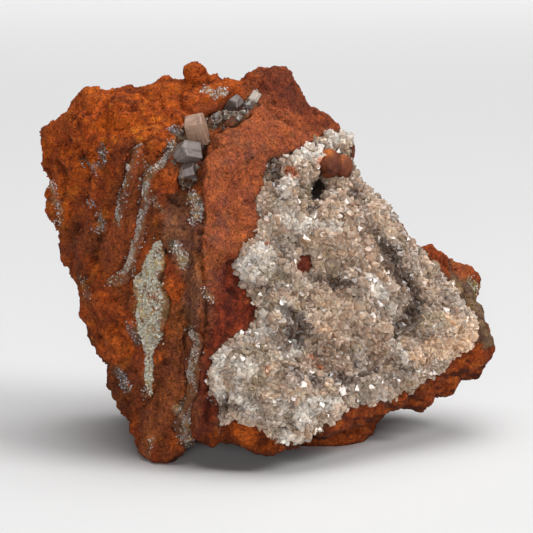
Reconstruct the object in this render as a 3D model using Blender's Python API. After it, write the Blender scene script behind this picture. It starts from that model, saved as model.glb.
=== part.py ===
"""Adamite on matrix: a broken block of iron-oxide gossan with a crust of adamite crystals.

The block stands on three feet cut by the floor. It is worked out in millimetres, +Z up and the
crystal face towards -Y, and centred and scaled to metres at the end. The block is fused from the
lumps it broke into, roughened, and thinned to flat facets. Each crust sits in a recess of its own in
the block, a small gap away from it, and its crystals are fused to it.
"""

import math
import random

import bmesh
import bpy
from mathutils import Matrix, Vector, noise
from mathutils.bvhtree import BVHTree
from mathutils.geometry import delaunay_2d_cdt

MM = 0.001
GAP = 0.3
WELD = 0.0001

# The middle of the finished specimen's box, brought over the origin at the end.
BOX_MIDDLE = Vector((0.28, 1.32, 0.0))

# The viewpoint that outlines are drawn from: a point straight ahead of the block's middle.
# An outline is a list of (right, up) in millimetres across the view at that middle.
EYE_DISTANCE = 380.0
EYE_TILT = math.radians(10.0)
EYE_HEIGHT = 27.7
EYE_UP = Vector((0.0, math.sin(EYE_TILT), math.cos(EYE_TILT)))
MIDDLE = Vector((0.0, 0.0, EYE_HEIGHT))
EYE = MIDDLE + EYE_DISTANCE * Vector((0.0, -math.cos(EYE_TILT), math.sin(EYE_TILT)))

# How finely the block is fused, and how many facets it keeps.
FUSE_SIZE = 0.8
MATRIX_FACETS = 2400

# Corners of the lumps that the block is made of, as (x, y, z).
LEFT_BLOCK = [
    (-34.8, 6, 47), (-36, 7, 44.4), (-35, 7, 36), (-32.6, 5, 30), (-31, 4, 25),
    (-26.9, 1, 16.7), (-23.4, -2, 10), (-20, -6.5, 3), (-18.2, -12, -0.8), (-12.3, -16, 2.5),
    (-11.3, -18, 21), (-12, -15, 34), (-11.1, -11, 44), (-9, -7, 50.5), (-3, 0, 55.5),
    (-30.6, 0, 50), (-27.6, 6, 53.6), (-22.9, 8, 54.8), (-13.5, 8, 54.6), (-4.9, 8, 55.8),
    (-24.5, -5, 48), (-17.5, -8, 48), (-33, 18, 43), (-29, 20, 49), (-14, 22, 52),
    (-4, 20, 53), (-28, 21, 20), (-22, 18, 4), (-14, -8, -0.8), (-8, 20, 2),
]
RIDGE_BLOCK = [
    (-6.7, -7, 51.5), (-9, -12, 47.4), (-9.8, -17, 34.7), (-10.4, -20, 21.7), (-12.2, -17.5, 3.4),
    (-3.9, -20, 3.6), (3.2, -20, 3.2), (-1.7, -5, 51), (5.1, 0, 48.6), (3.5, -20.5, 5.1),
    (11.9, -13.5, 9.2), (18.1, -8.5, 8.8), (24.6, -3, 10.7), (29.6, 1.5, 14), (33.6, 4, 15),
    (36.6, 5, 13.9), (9.6, 7, 46), (19.1, 9.5, 35), (22.2, 9.5, 30), (29.6, 7, 22.6),
    (5, -18, 4.2), (11.2, -12, 5.6), (20.7, -3, 6.2), (27.4, 3, 7.6), (35, 7, 8.2),
    (-8, 21, 4), (14, 20, 4), (28, 18, 8), (30, 16, 18), (18, 22, 30), (6, 22, 44), (-8, 22, 48),
]
PEAK = [
    (-0.7, 3, 57.6), (2.4, 5, 57.5), (4.6, 6, 55), (6.2, 6, 51.8), (-2.5, 1, 54.8), (-4.8, -4, 52),
    (3.6, -2, 49), (-0.7, 14, 56.2), (3.7, 14, 54.5), (-4, 16, 48), (6, 16, 46),
]
SHOULDER = [
    (6.3, 7, 51.2), (8.6, 8, 50.4), (10.6, 9, 49), (12.3, 9, 47.2), (13.4, 9, 46), (13.4, 9, 43.6),
    (13.2, 9, 41), (5.9, 2, 49), (8.2, 0, 44), (10.6, 1, 40), (10.4, 18, 48), (14, 18, 43),
    (4, 16, 40),
]
BACK_RIGHT = [
    (21.4, 13, 29.7), (26.8, 15, 27.6), (30.1, 16, 25.2), (34.6, 17, 21.6), (33.2, 16, 18.9),
    (33.8, 9, 17.6), (31.2, 8, 21), (34.6, 8, 14.5), (26.9, 23, 25.6), (33.2, 23, 19.5), (20, 12, 16),
]
FRONT_TIP = [
    (-18.8, -11, -1.2), (-16.8, -14.6, -1.2), (-14.4, -12.5, -1.2), (-14.5, -9, -1.2), (-20, -8, 3),
    (-17.8, -14.4, 1.5), (-12, -16.6, 3), (-10, -10, 6), (-19, -8, 8),
]
FOOT = [
    (4.5, -4, -0.8), (12, -4, -0.8), (15.3, -1.5, -0.6), (18.8, 2, 3), (20, 8, 6), (4, 15, -0.8),
    (14, 14, -0.8), (6, -6, 8), (16, -2, 8), (0, 8, 8),
]
HIND_FOOT = [(-18, 8, -0.8), (-10, 8, -0.8), (-16, 15, -0.8), (-9, 16, -0.8), (-20, 8, 8), (-6, 10, 8)]

# Round lumps that stand out of the block, as (centre, radius).
KNOBS = [
    ((-11.1, 5.5, 57), 1.8), ((-17.6, 7, 53.2), 2.1), ((-14.6, 7, 53.7), 2.0),
    ((-8.2, 7, 55.6), 1.9), ((-2.9, 5, 56), 1.6), ((-5.4, 5, 55.4), 1.7), ((-22, 6, 52.6), 2.4),
    ((0.5, 4, 56.2), 1.6), ((-33.6, 7, 36.2), 1.7), ((-31.9, 6, 31.4), 1.4),
    ((-29.6, 5, 26.8), 1.5), ((-26.7, 2, 17), 2.0), ((-19.4, -5, 2.9), 1.4),
    ((-23, 0, 9.6), 1.5), ((-33.9, 6, 45.2), 1.6), ((-27.4, 3, 49.2), 2.6),
    ((26.4, 14, 27.2), 1.8), ((32.6, 17, 21.6), 2.5), ((34.2, 5.5, 13.2), 1.6),
    ((33, 7.5, 10.4), 1.7), ((-26.9, -0.5, 49.6), 3.0), ((-21.5, -2.5, 51), 2.4),
    ((-28, 12, 48.6), 2.6), ((-16, 16, 51.6), 2.6), ((-24, 15, 51), 2.8), ((4, 17, 48), 2.4),
    ((18, 20, 24), 2.6), ((10, 22, 33), 2.6), ((-6, 21, 44), 2.8), ((-27, 20, 36), 2.6),
]


# Making and combining meshes

def add_object(name, mesh):
    made = bpy.data.objects.new(name, mesh)
    bpy.context.scene.collection.objects.link(made)
    return made


def hull_into(bm, corners):
    """The convex solid with these corners, added to a bmesh."""
    verts = [bm.verts.new(c) for c in corners]
    made = bmesh.ops.convex_hull(bm, input=verts)
    spare = {e for e in made["geom_interior"] + made["geom_unused"] if isinstance(e, bmesh.types.BMVert)}
    bmesh.ops.delete(bm, geom=list(spare), context="VERTS")


def object_from(bm, name):
    bmesh.ops.recalc_face_normals(bm, faces=bm.faces)
    mesh = bpy.data.meshes.new(name)
    bm.to_mesh(mesh)
    bm.free()
    return add_object(name, mesh)


def settle(obj):
    """Makes what the modifiers show the object's own mesh."""
    graph = bpy.context.evaluated_depsgraph_get()
    graph.update()
    mesh = bpy.data.meshes.new_from_object(obj.evaluated_get(graph))
    obj.modifiers.clear()
    obj.data = mesh
    return obj


def discard(obj):
    bpy.data.objects.remove(obj)


def fuse(obj, size):
    whole = obj.data
    for step in range(8):
        obj.data = whole
        modifier = obj.modifiers.new("fuse", "REMESH")
        modifier.mode = "VOXEL"
        modifier.voxel_size = size - 0.01 * step
        settle(obj)
        if closed(obj):
            break
    return obj


def thin(obj, facets):
    """Leaves about this many triangles, most of them where the shape bends."""
    whole = obj.data
    whole.calc_loop_triangles()
    for extra in range(0, 200, 20):
        obj.data = whole
        modifier = obj.modifiers.new("thin", "DECIMATE")
        modifier.ratio = (facets + extra) / len(whole.loop_triangles)
        modifier.use_collapse_triangulate = True
        settle(obj)
        if closed(obj):
            break
    return obj


# A cut that would leave the solid touching itself is made again with the tool moved a little.
NUDGES = [
    Vector(p) for p in ((0, 0, 0), (0.02, 0.01, 0), (-0.01, 0.02, 0), (0.01, -0.02, 0), (-0.03, 0, 0))
]


def combine(obj, other, operation):
    whole = obj.data
    for nudge in NUDGES:
        obj.data = whole
        other.location = nudge
        modifier = obj.modifiers.new(operation, "BOOLEAN")
        modifier.operation = operation
        modifier.object = other
        modifier.solver = "EXACT"
        modifier.use_self = True
        settle(obj)
        if closed(obj):
            break
    discard(other)
    return obj


def closed(obj):
    """Tidies a cut's result, and tells whether each of its edges has two faces."""
    bm = bmesh.new()
    bm.from_mesh(obj.data)
    bmesh.ops.remove_doubles(bm, verts=bm.verts, dist=WELD)
    bmesh.ops.dissolve_degenerate(bm, edges=bm.edges, dist=WELD)
    drop_chips(bm)
    bmesh.ops.triangulate(bm, faces=bm.faces)
    sound = all(len(edge.link_faces) == 2 for edge in bm.edges)
    bm.to_mesh(obj.data)
    bm.free()
    return sound


def drop_chips(bm):
    """Leaves only the largest of the pieces that a cut made."""
    left = set(bm.verts)
    islands = []
    while left:
        island = set()
        front = [left.pop()]
        while front:
            vert = front.pop()
            island.add(vert)
            near = {edge.other_vert(vert) for edge in vert.link_edges} & left
            left -= near
            front.extend(near)
        islands.append(island)
    islands.sort(key=len)
    for island in islands[:-1]:
        bmesh.ops.delete(bm, geom=list(island), context="VERTS")


# The block of matrix

def seen_at(tree, right, up):
    """The point of the block's face that the eye sees at (right, up), or the nearest to that line."""
    way = (MIDDLE + Vector((right, 0.0, 0.0)) + up * EYE_UP - EYE).normalized()
    hit = tree.ray_cast(EYE, way)[0]
    if hit is None:
        tries = [tree.find_nearest(EYE + (EYE_DISTANCE + 2.0 * step) * way) for step in range(-12, 13)]
        hit = min(tries, key=lambda found: found[3])[0]
    return hit


def falloff(distance, radius):
    """1 at a feature's middle, 0 from its radius outwards, with a smooth slope between."""
    share = max(0.0, 1.0 - (distance / radius) ** 2)
    return share * share


def to_path(point, path):
    """Distance from a point to a line through several points, in two or three dimensions."""
    best = math.inf
    for start, end in zip(path, path[1:]):
        along = end - start
        share = max(0.0, min(1.0, (point - start).dot(along) / along.length_squared))
        best = min(best, (point - start - share * along).length)
    return best


# Grooves in the faces that the eye sees, as (the (right, up) points they run through, half width,
# depth).
FACE_GROOVES = [
    ([(-1.3, 28.5), (-3.6, 26.3), (-6.6, 24), (-9.4, 21.4), (-10.4, 18), (-11.6, 15), (-12.6, 11)],
     2.6, 2.8),
    ([(-19.8, 18.7), (-21.4, 13.4), (-22.7, 10.3), (-23, 7.4)], 1.5, 0.9),
    ([(-15.4, 17.3), (-18.8, 13.6), (-18.8, 10.6), (-19.5, 6), (-20.7, 1.2), (-21.6, -1.6)], 1.5, 0.9),
    ([(-12, 10), (-12.3, 2), (-12.6, -5), (-12.3, -14.5), (-12.6, -22), (-13.5, -27)], 2.3, 1.3),
    ([(-15, -7.5), (-14.7, -14), (-15.8, -23)], 2.2, 1.1),
    ([(-26.2, 1), (-25.6, 0.2)], 1.6, 1.4),
    ([(28.5, -0.6), (30, -3.6), (32.6, -9.4)], 1.8, 0.9),
    ([(13, -28), (20, -22.6), (27, -18.5), (33, -16.3)], 1.4, 1.0),
]
# Swellings of those faces, as ((right, up), radius, height).
FACE_SWELLINGS = [
    ((-22.9, -12), 3.6, 2.0), ((-17, 14.2), 2.2, 1.2), ((-14.6, -3), 2.2, 1.1),
    ((-26.6, 13.4), 4.5, 1.3), ((-29.7, 21.2), 4.5, 1.0), ((-21.2, 24.3), 5.0, 0.8),
    ((-25.8, -3.6), 3.8, 1.2), ((-28.2, 3.4), 3.2, 0.9), ((-4.2, 18.1), 5.0, 0.9),
    ((-6.4, 2.6), 3.6, 1.0), ((-8, -8.3), 4.2, 1.0), ((-9.6, -22.3), 3.2, 0.9),
    ((3.6, 24.3), 3.6, 0.9), ((-3.4, -25.6), 2.6, 1.2), ((-18.1, -26.9), 2.4, 0.8),
    ((-16.6, 7.6), 2.4, 0.7), ((-9, 11), 3.0, 0.7), ((17.5, -25.2), 2.6, 0.8),
]
# Dents (negative) and swellings along the block's edges, as (centre, radius, height).
EDGE_FORMS = [
    (Vector((-33.8, 6.5, 47.8)), 5.0, 1.5), (Vector((-35.3, 11.3, 40.0)), 5.5, -2.0),
    (Vector((-34.2, 10.0, 31.0)), 5.5, -1.9), (Vector((-31.2, 8.0, 24.0)), 4.5, -1.3),
    (Vector((-33.6, 4.6, 31.6)), 4.5, -1.6), (Vector((-32.0, 4.8, 27.0)), 4.0, -1.2),
    (Vector((-30.4, 3.6, 22.8)), 4.5, -1.5), (Vector((-35.0, 6.8, 40.4)), 3.5, -0.8),
    (Vector((-25.0, -5.0, 8.6)), 4.5, -2.4), (Vector((-13.7, 12.3, 55.7)), 3.5, -0.9),
    (Vector((-8.4, 6.5, 57.2)), 3.4, -1.5), (Vector((-5.4, 5.5, 56.8)), 3.2, -0.9),
    (Vector((-1.4, 3.8, 57.6)), 3.0, -0.7), (Vector((3.8, 9.7, 56.6)), 4.5, -1.6),
    (Vector((27.2, 15.7, 29.2)), 4.0, -1.0), (Vector((35.0, 15.5, 19.0)), 4.0, -1.3),
    (Vector((32.0, 5.2, 8.0)), 4.5, -2.0), (Vector((27.4, -0.4, 7.6)), 3.5, -1.0),
]
# Swellings of the rear faces, as (centre, radius, height).
REAR_SWELLINGS = [
    (Vector((-20, 21, 30)), 9.0, 2.4), (Vector((4, 22, 22)), 10.0, 2.4),
    (Vector((20, 20, 16)), 7.0, 1.8), (Vector((-30, 14, 30)), 8.0, 1.5),
    (Vector((-8, 21, 44)), 7.0, 1.8), (Vector((-10, 20, 12)), 8.0, 1.6),
    (Vector((-26, 20, 44)), 6.0, 1.4), (Vector((14, 21, 40)), 6.0, 1.6),
]
# The layers of the left face run down it, leaning by this slope.
LAYER_SLOPE = 0.25
LAYER_SPACING = 2.3
LAYER_RELIEF = 1.3
LAYER_LENGTH = 15.0
# The share of that relief on a face that looks ahead, its gain as a face turns left, and its share on
# the rear faces, whose normal's y is over the limit.
AHEAD_SHARE, LEFT_GAIN = 0.3, 1.4
REAR_SHARE, REAR_FROM = 0.8, 0.3
# Unevenness of the broken rock, as (size of its lumps, height, shift of its noise), and the same for
# the faces that look up.
ROCK_LUMPS = [(7.0, 1.3, Vector((3.1, 0.0, 5.0))), (3.6, 0.9, Vector((0.0, 9.0, 1.0)))]
TOP_LUMP_SIZE, TOP_LUMP_HEIGHT = 2.4, 0.8
# The relief fades out above the floor, from one height to another.
FADE_FROM, FADE_OVER = 0.6, 3.0


def layer_relief(at, normal):
    """Ledges along the layers, strongest on the left and rear faces, where they are cut across."""
    across = at.x - LAYER_SLOPE * (at.z - EYE_HEIGHT)
    along = at.z + LAYER_SLOPE * at.x
    step = noise.noise(Vector((across / LAYER_SPACING, along / LAYER_LENGTH, at.y / LAYER_LENGTH)))
    sideways = max(0.0, min(1.0, AHEAD_SHARE - LEFT_GAIN * normal.x))
    return LAYER_RELIEF * step * (sideways if normal.y < REAR_FROM else REAR_SHARE)


def relief(at, normal, swellings, grooves):
    """How far the rough surface stands out of the fused lumps at a point."""
    height = layer_relief(at, normal)
    for size, lump, shift in ROCK_LUMPS:
        height += lump * noise.noise(at / size + shift)
    height += TOP_LUMP_HEIGHT * max(0.0, normal.z) * noise.noise(at / TOP_LUMP_SIZE)
    for centre, radius, swell in swellings:
        height += swell * falloff((at - centre).length, radius)
    for path, width, depth in grooves:
        height -= depth * falloff(to_path(at, path), width)
    near_floor = min(1.0, max(0.0, (at.z - FADE_FROM) / FADE_OVER))
    return height * near_floor


def roughen(obj):
    tree = BVHTree.FromObject(obj, bpy.context.evaluated_depsgraph_get())
    grooves = [([seen_at(tree, *p) for p in path], width, depth) for path, width, depth in FACE_GROOVES]
    swellings = [(seen_at(tree, *at), radius, swell) for at, radius, swell in FACE_SWELLINGS]
    swellings += EDGE_FORMS + REAR_SWELLINGS
    mesh = obj.data
    moved = [v.co + relief(v.co, v.normal, swellings, grooves) * v.normal for v in mesh.vertices]
    for vert, place in zip(mesh.vertices, moved):
        vert.co = place
    return obj


def matrix_block():
    bm = bmesh.new()
    for corners in (LEFT_BLOCK, RIDGE_BLOCK, PEAK, SHOULDER, BACK_RIGHT, FRONT_TIP, FOOT, HIND_FOOT):
        hull_into(bm, corners)
    for centre, radius in KNOBS:
        at = Matrix.Translation(centre)
        bmesh.ops.create_icosphere(bm, subdivisions=2, radius=radius, matrix=at)
    block = object_from(bm, "matrix")
    fuse(block, FUSE_SIZE)
    roughen(block)
    fuse(block, FUSE_SIZE)
    return block


# How far the floor's cutter reaches sideways and down.
FLOOR_REACH = 60
FLOOR_DEPTH = 20


def floor_cutter():
    bm = bmesh.new()
    sides = (-FLOOR_REACH, FLOOR_REACH)
    hull_into(bm, [(x, y, z) for x in sides for y in sides for z in (-FLOOR_DEPTH, 0)])
    return object_from(bm, "floor_cutter")


# Crusts: slabs that follow the block's face inside an outline

def resampled(outline, spacing):
    """Points along a closed outline about this far apart."""
    made = []
    for start, end in zip(outline, outline[1:] + outline[:1]):
        start, end = Vector(start), Vector(end)
        count = max(1, round((end - start).length / spacing))
        made += [start.lerp(end, i / count) for i in range(count)]
    return made


def holds(outline, point):
    inside = False
    for start, end in zip(outline, outline[1:] + outline[:1]):
        if (start.y > point.y) != (end.y > point.y):
            cross = start.x + (point.y - start.y) * (end.x - start.x) / (end.y - start.y)
            inside ^= point.x < cross
    return inside


def grid_inside(outline, spacing, margin):
    """Points of a triangular grid inside an outline, clear of its edge by the margin."""
    row = spacing * math.sqrt(3) / 2
    low_x, high_x = min(p.x for p in outline), max(p.x for p in outline)
    low_y, high_y = min(p.y for p in outline), max(p.y for p in outline)
    loop = outline + outline[:1]
    found = []
    for j in range(int((high_y - low_y) / row) + 1):
        for i in range(int((high_x - low_x) / spacing) + 1):
            point = Vector((low_x + (i + 0.5 * (j % 2)) * spacing, low_y + j * row))
            if holds(outline, point) and to_path(point, loop) > margin:
                found.append(point)
    return found


# Crystals whose half width is over this have upright sides.
UPRIGHT_FROM = 1.05
# Where those sides end, as a share of the half length, and half the roof's ridge, as a share of the
# half width.
ROOF_FROM = 0.3
ROOF_RIDGE = 0.62


class Crust:
    """A slab on the block's face: its outline, the way it faces, its surface above the face, and
    extra points where that surface is sharpest."""

    def __init__(self, name, tree, outline, out, spacing, thickness, surface, extra=()):
        self.name = name
        self.tree = tree
        self.edge = resampled(outline, spacing)
        self.out = Vector(out).normalized()
        self.spacing = spacing
        self.thickness = thickness
        self.surface = surface
        self.extra = extra

    def on_surface(self, point):
        hit = seen_at(self.tree, point.x, point.y)
        return hit + self.surface(point, to_path(point, self.edge + self.edge[:1])) * self.out

    def round_it(self, by):
        """Points this far outside the edge: across the view, and on the block straight out from the
        slab's side."""
        flat, solid = [], []
        hits = [seen_at(self.tree, point.x, point.y) for point in self.edge]
        for i, point in enumerate(self.edge):
            after = (i + 1) % len(hits)
            tangent = (self.edge[after] - self.edge[i - 1]).normalized()
            moved = point + by * Vector((tangent.y, -tangent.x))
            if to_path(moved, self.edge + self.edge[:1]) > 0.9 * by:
                flat.append(moved)
                solid.append(hits[i] + by * (hits[after] - hits[i - 1]).cross(self.out).normalized())
        return flat, solid

    def slab_into(self, bm, grow=0.0, open_front=0.0):
        """Adds the slab. A cutter's slab grows sideways and back, and reaches out past the face."""
        points = self.edge + grid_inside(self.edge, self.spacing, 0.45 * self.spacing)
        points += [Vector(spot) for spot in self.extra]
        hits = [seen_at(self.tree, point.x, point.y) for point in points]
        seam = [(i, (i + 1) % len(self.edge)) for i in range(len(self.edge))]
        ring = list(range(len(self.edge)))
        if grow:
            flat, solid = self.round_it(grow)
            ring = list(range(len(points), len(points) + len(flat)))
            points = points + flat
            hits = hits + solid
        placed, _, faces, source, _, _ = delaunay_2d_cdt(points, seam, [ring], 1, 1e-5)
        fronts, backs = [], []
        for point, origins in zip(placed, source):
            hit = hits[origins[0]] if origins else seen_at(self.tree, point.x, point.y)
            height = self.surface(point, to_path(point, self.edge + self.edge[:1]))
            fronts.append(bm.verts.new(hit + (height + open_front) * self.out))
            backs.append(bm.verts.new(hit + (min(height, 0.0) - self.thickness - grow) * self.out))
        rim = set()
        for face in faces:
            bm.faces.new([fronts[i] for i in face])
            bm.faces.new([backs[i] for i in reversed(face)])
            rim |= set(zip(face, face[1:] + face[:1]))
        for a, b in rim:
            if (b, a) not in rim:
                bm.faces.new((fronts[b], fronts[a], backs[a], backs[b]))


def bed_height(rise, inward):
    """Height of a crust above the block's face, from its edge inwards."""
    start, gain, over = rise
    return start + gain * min(1.0, inward / over)


def crystal_into(bm, at, axis, spin, sizes, grow=0.0):
    """A stubby crystal with a roof-shaped end. Its sizes are half its width, half its thickness and half
    its length. A large one has upright sides under the roof, and a small one tapers from its base."""
    wide, thick, long = (size + grow for size in sizes)
    turn = axis.to_track_quat("Z", "Y").to_matrix().to_4x4() @ Matrix.Rotation(spin, 4, "Z")
    levels = (-long, ROOF_FROM * long) if sizes[0] > UPRIGHT_FROM else (-long,)
    corners = [(x, y, z) for x in (-wide, wide) for y in (-thick, thick) for z in levels]
    corners += [(-ROOF_RIDGE * wide, 0.0, long), (ROOF_RIDGE * wide, 0.0, long)]
    hull_into(bm, [at + turn @ Vector(c) for c in corners])


# The main crust of adamite, anticlockwise from its top right. Its outline as (right, up).
FRONT_OUTLINE = [
    (12.3, 20.5), (9.0, 20.0), (6.0, 18.2), (3.6, 16.8), (0.8, 16.5), (0.2, 14.9), (-0.2, 11.9),
    (-1.3, 10.3), (-0.7, 8.0), (-0.8, 5.6), (-1.9, 4.1), (-3.8, 1.8), (-4.1, 0.2), (-3.3, -2.1),
    (-2.3, -3.9), (-0.7, -6.0), (-0.8, -7.6), (-1.8, -9.8), (-4.1, -10.7), (-6.4, -12.2),
    (-7.5, -13.3), (-8.3, -16.0), (-8.3, -18.4), (-6.9, -20.7), (-6.9, -22.2), (-7.4, -24.6),
    (-4.9, -23.4), (-2.6, -23.3), (-0.7, -24.7), (1.3, -26.1), (3.6, -26.9), (5.2, -26.5),
    (7.5, -25.3), (11.4, -22.5), (12.2, -21.1), (15.3, -20.7), (18.4, -20.6), (21.5, -19.1),
    (24.6, -17.3), (26.9, -15.3), (29.2, -12.7), (31.5, -11.4), (33.0, -11.0), (32.2, -8.9),
    (30.2, -5.9), (28.6, -3.6), (26.7, -1.3), (24.4, 1.3), (21.4, 4.3), (18.4, 8.6), (16.1, 11.5),
    (14.0, 13.6), (12.9, 15.3), (13.0, 18.0),
]
FRONT_OUT = (0.47, -0.77, 0.42)
# Hollows (negative) and mounds of the main crust, as (path, half width, height).
FRONT_FORMS = [
    ([(6.9, 11.2), (7.6, 12.4), (8.5, 13.8)], 2.0, -4.6),
    ([(1.6, 15.3), (1.7, 13.9)], 1.1, -2.0),
    ([(16.9, 4.9), (19.5, 0.6), (21.5, -2.9), (22.8, -5.4), (21.9, -8.3), (20.0, -10.6)], 2.6, -2.1),
    ([(5.2, -16.4), (9.9, -16.4), (13.3, -16.6), (17.6, -14.5)], 1.2, -1.4),
    ([(3.9, -9.1), (5.0, -11.5), (3.4, -13.0)], 2.6, -1.8),
    ([(0.2, -4.1), (1.0, -4.2)], 1.5, -1.0),
    ([(9.8, 4.1), (9.9, 4.0)], 6.5, 1.4),
    ([(13.7, -5.2), (14.0, -5.2)], 4.5, 1.5),
    ([(-3.4, -16.0), (-3.0, -16.0)], 5.0, 1.3),
    ([(26.8, -8.3), (27.5, -9.5)], 4.0, 0.9),
    ([(3.6, -18.4), (3.8, -18.4)], 2.4, 1.2),
    ([(9.8, -12.9), (11.0, -13.5)], 4.0, 1.2),
]
FRONT_SPACING = 2.7
FRONT_THICKNESS = 2.6
FRONT_CRYSTAL_SPACING = 3.3
# Each crust's height at its edge, what it gains inwards, and over how far.
FRONT_RISE = (-0.5, 0.9, 2.0)
VEIN_RISE = (0.15, 0.5, 1.2)
FISSURE_RISE = (-0.2, 0.4, 1.0)
FRONT_UNEVENNESS = 1.1
FRONT_LUMP_SIZE, FRONT_LUMP_SHIFT = 1.3, 0.4
# How closely places for the main crust's crystals are tried, how far from its edge, how much the
# crystals lean at random, and their half widths.
FRONT_TRY_SPACING, FRONT_MARGIN = 0.9, 1.0
FRONT_LEAN = 0.75
FRONT_CRYSTAL_SIZES = (0.8, 0.9, 1.0, 1.1, 1.3)
# Forms deeper than this get points of their own in the slab.
DEEP_FORM = -1.9

# Lumps of iron oxide that sit on the main crust, as (centre, the way each faces, radii).
NODULES = [
    ((9.6, -0.2, 43.8), (0, 0, 1), (1.9, 1.8, 2.3)),
    ((11.9, 1.4, 43.0), (0, 0, 1), (1.4, 1.6, 2.1)),
]
# A flat powdery tuft, and how far the crust's own crystals stay from its middle.
TUFT_MIDDLE = (5.5, -9.2, 29.7)
TUFT = [(TUFT_MIDDLE, FRONT_OUT, (1.65, 2.0, 0.8))]
TUFT_ROOM = 3.2


def front_surface(point, inward):
    """Height of the main crust above the block's face: sunk at its edge, and uneven inside."""
    height = bed_height(FRONT_RISE, inward)
    spot = Vector((point.x / FRONT_LUMP_SIZE, point.y / FRONT_LUMP_SIZE, FRONT_LUMP_SHIFT))
    height += FRONT_UNEVENNESS * noise.noise(spot) * min(1.0, inward)
    for path, width, form in FRONT_FORMS:
        height += form * falloff(to_path(point, [Vector(p) for p in path]), width)
    return height


def front_crystals(crust):
    """Places, directions and sizes of the crystals on the main crust, spread evenly over its surface."""
    dice = random.Random(7)
    spots = grid_inside(crust.edge, FRONT_TRY_SPACING, FRONT_MARGIN)
    dice.shuffle(spots)
    made = []
    for point in spots:
        at = crust.on_surface(point)
        if any((at - other[0]).length < FRONT_CRYSTAL_SPACING for other in made):
            continue
        normal = crust.tree.find_nearest(at)[1]
        lean = Vector((dice.uniform(-1, 1), dice.uniform(-1, 1), dice.uniform(-1, 1)))
        axis = (0.5 * crust.out + 0.5 * normal + FRONT_LEAN * lean).normalized()
        size = dice.choice(FRONT_CRYSTAL_SIZES) * dice.uniform(0.9, 1.15)
        sizes = (size, size * dice.uniform(0.6, 0.9), size * dice.uniform(1.2, 1.6))
        made.append((at + 0.15 * size * normal, axis, dice.uniform(0, math.pi), sizes))
    return [crystal for crystal in made if (crystal[0] - Vector(TUFT_MIDDLE)).length > TUFT_ROOM]


# Smaller crusts on the left face, each as its outline, anticlockwise, and the way it faces.
LEFT_OUT = (-0.45, -0.87, 0.2)
PALE_OUTLINE = [
    (-16.4, 4.1), (-17.9, 2.5), (-18.9, 0.9), (-19.6, -0.9), (-20.4, -2.5), (-20.7, -3.6),
    (-19.9, -5.0), (-20.2, -7.0), (-19.8, -9.8), (-19.1, -11.7), (-18.7, -14.0), (-18.6, -17.6),
    (-18.1, -20.4), (-17.6, -17.4), (-17.6, -14.0), (-16.9, -12.0), (-16.2, -10.2), (-15.8, -8.0),
    (-15.5, -5.2), (-16.6, -3.0), (-17.0, -1.8), (-16.0, -0.4), (-15.9, 0.9), (-16.2, 2.5),
]
UPPER_VEIN_OUTLINE = [
    (-18.9, 19.2), (-20.6, 18.6), (-21.4, 16.2), (-22.2, 12.8), (-23.1, 9.6), (-23.6, 7.8),
    (-22.8, 7.0), (-22.2, 8.4), (-21.4, 10.8), (-20.4, 13.6), (-19.7, 15.8), (-19.2, 17.6),
]
MIDDLE_VEIN_OUTLINE = [
    (-15.7, 18.0), (-16.8, 17.2), (-17.9, 15.4), (-19.2, 14.0), (-19.5, 11.6), (-19.9, 8.6),
    (-20.5, 5.2), (-21.6, 1.6), (-22.3, -0.6), (-24.6, -1.2), (-25.4, -2.4), (-23.8, -3.4),
    (-21.7, -2.9), (-20.8, -0.8), (-19.9, 2.0), (-18.9, 5.4), (-18.2, 8.6), (-17.8, 11.4),
    (-17.0, 13.8), (-16.0, 15.2), (-15.5, 16.6),
]
LOWER_OUT = (-0.2, -0.97, 0.1)
LOWER_VEIN_OUTLINE = [
    (-11.8, -9.6), (-12.6, -11.2), (-12.2, -13.2), (-12.7, -15.4), (-12.4, -17.8), (-12.6, -20.2),
    (-13.6, -22.6), (-14.6, -24.8), (-13.4, -26.8), (-12.4, -27.2), (-12.2, -24.6), (-11.8, -22.4),
    (-10.8, -19.8), (-10.6, -17.2), (-10.6, -14.0), (-10.0, -11.4), (-10.6, -10.0),
]


def vein_surface(point, inward):
    """Height of a small crust above the block's face: thin at its edge, a little proud inside."""
    return bed_height(VEIN_RISE, inward)


# How far a small crust's crystals stay from its edge, and how much they lean at random.
VEIN_MARGIN = 0.3
VEIN_LEAN = 0.6


def vein_crystals(crust, spacing, smallest, largest):
    dice = random.Random(len(crust.edge))
    made = []
    for point in grid_inside(crust.edge, spacing, VEIN_MARGIN):
        at = crust.on_surface(point)
        lean = Vector((dice.uniform(-1, 1), dice.uniform(-1, 1), dice.uniform(-1, 1)))
        axis = (crust.out + VEIN_LEAN * lean).normalized()
        size = dice.uniform(smallest, largest)
        made.append((at, axis, dice.uniform(0, math.pi), (size, 0.75 * size, 1.3 * size)))
    return made


# The crystals in the fissure between the left block and the ridge.
FISSURE_OUTLINE = [
    (-1.2, 25.2), (-3.6, 25.6), (-5.6, 24.4), (-8.0, 23.6), (-10.4, 22.6), (-12.6, 22.6),
    (-13.0, 20.6), (-14.4, 18.2), (-14.6, 15.8), (-13.6, 14.2), (-13.2, 12.0), (-11.4, 12.6),
    (-10.6, 15.2), (-9.6, 18.4), (-8.0, 20.6), (-5.4, 22.0), (-3.2, 23.2),
]
FISSURE_OUT = (-0.25, -0.9, 0.35)
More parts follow.
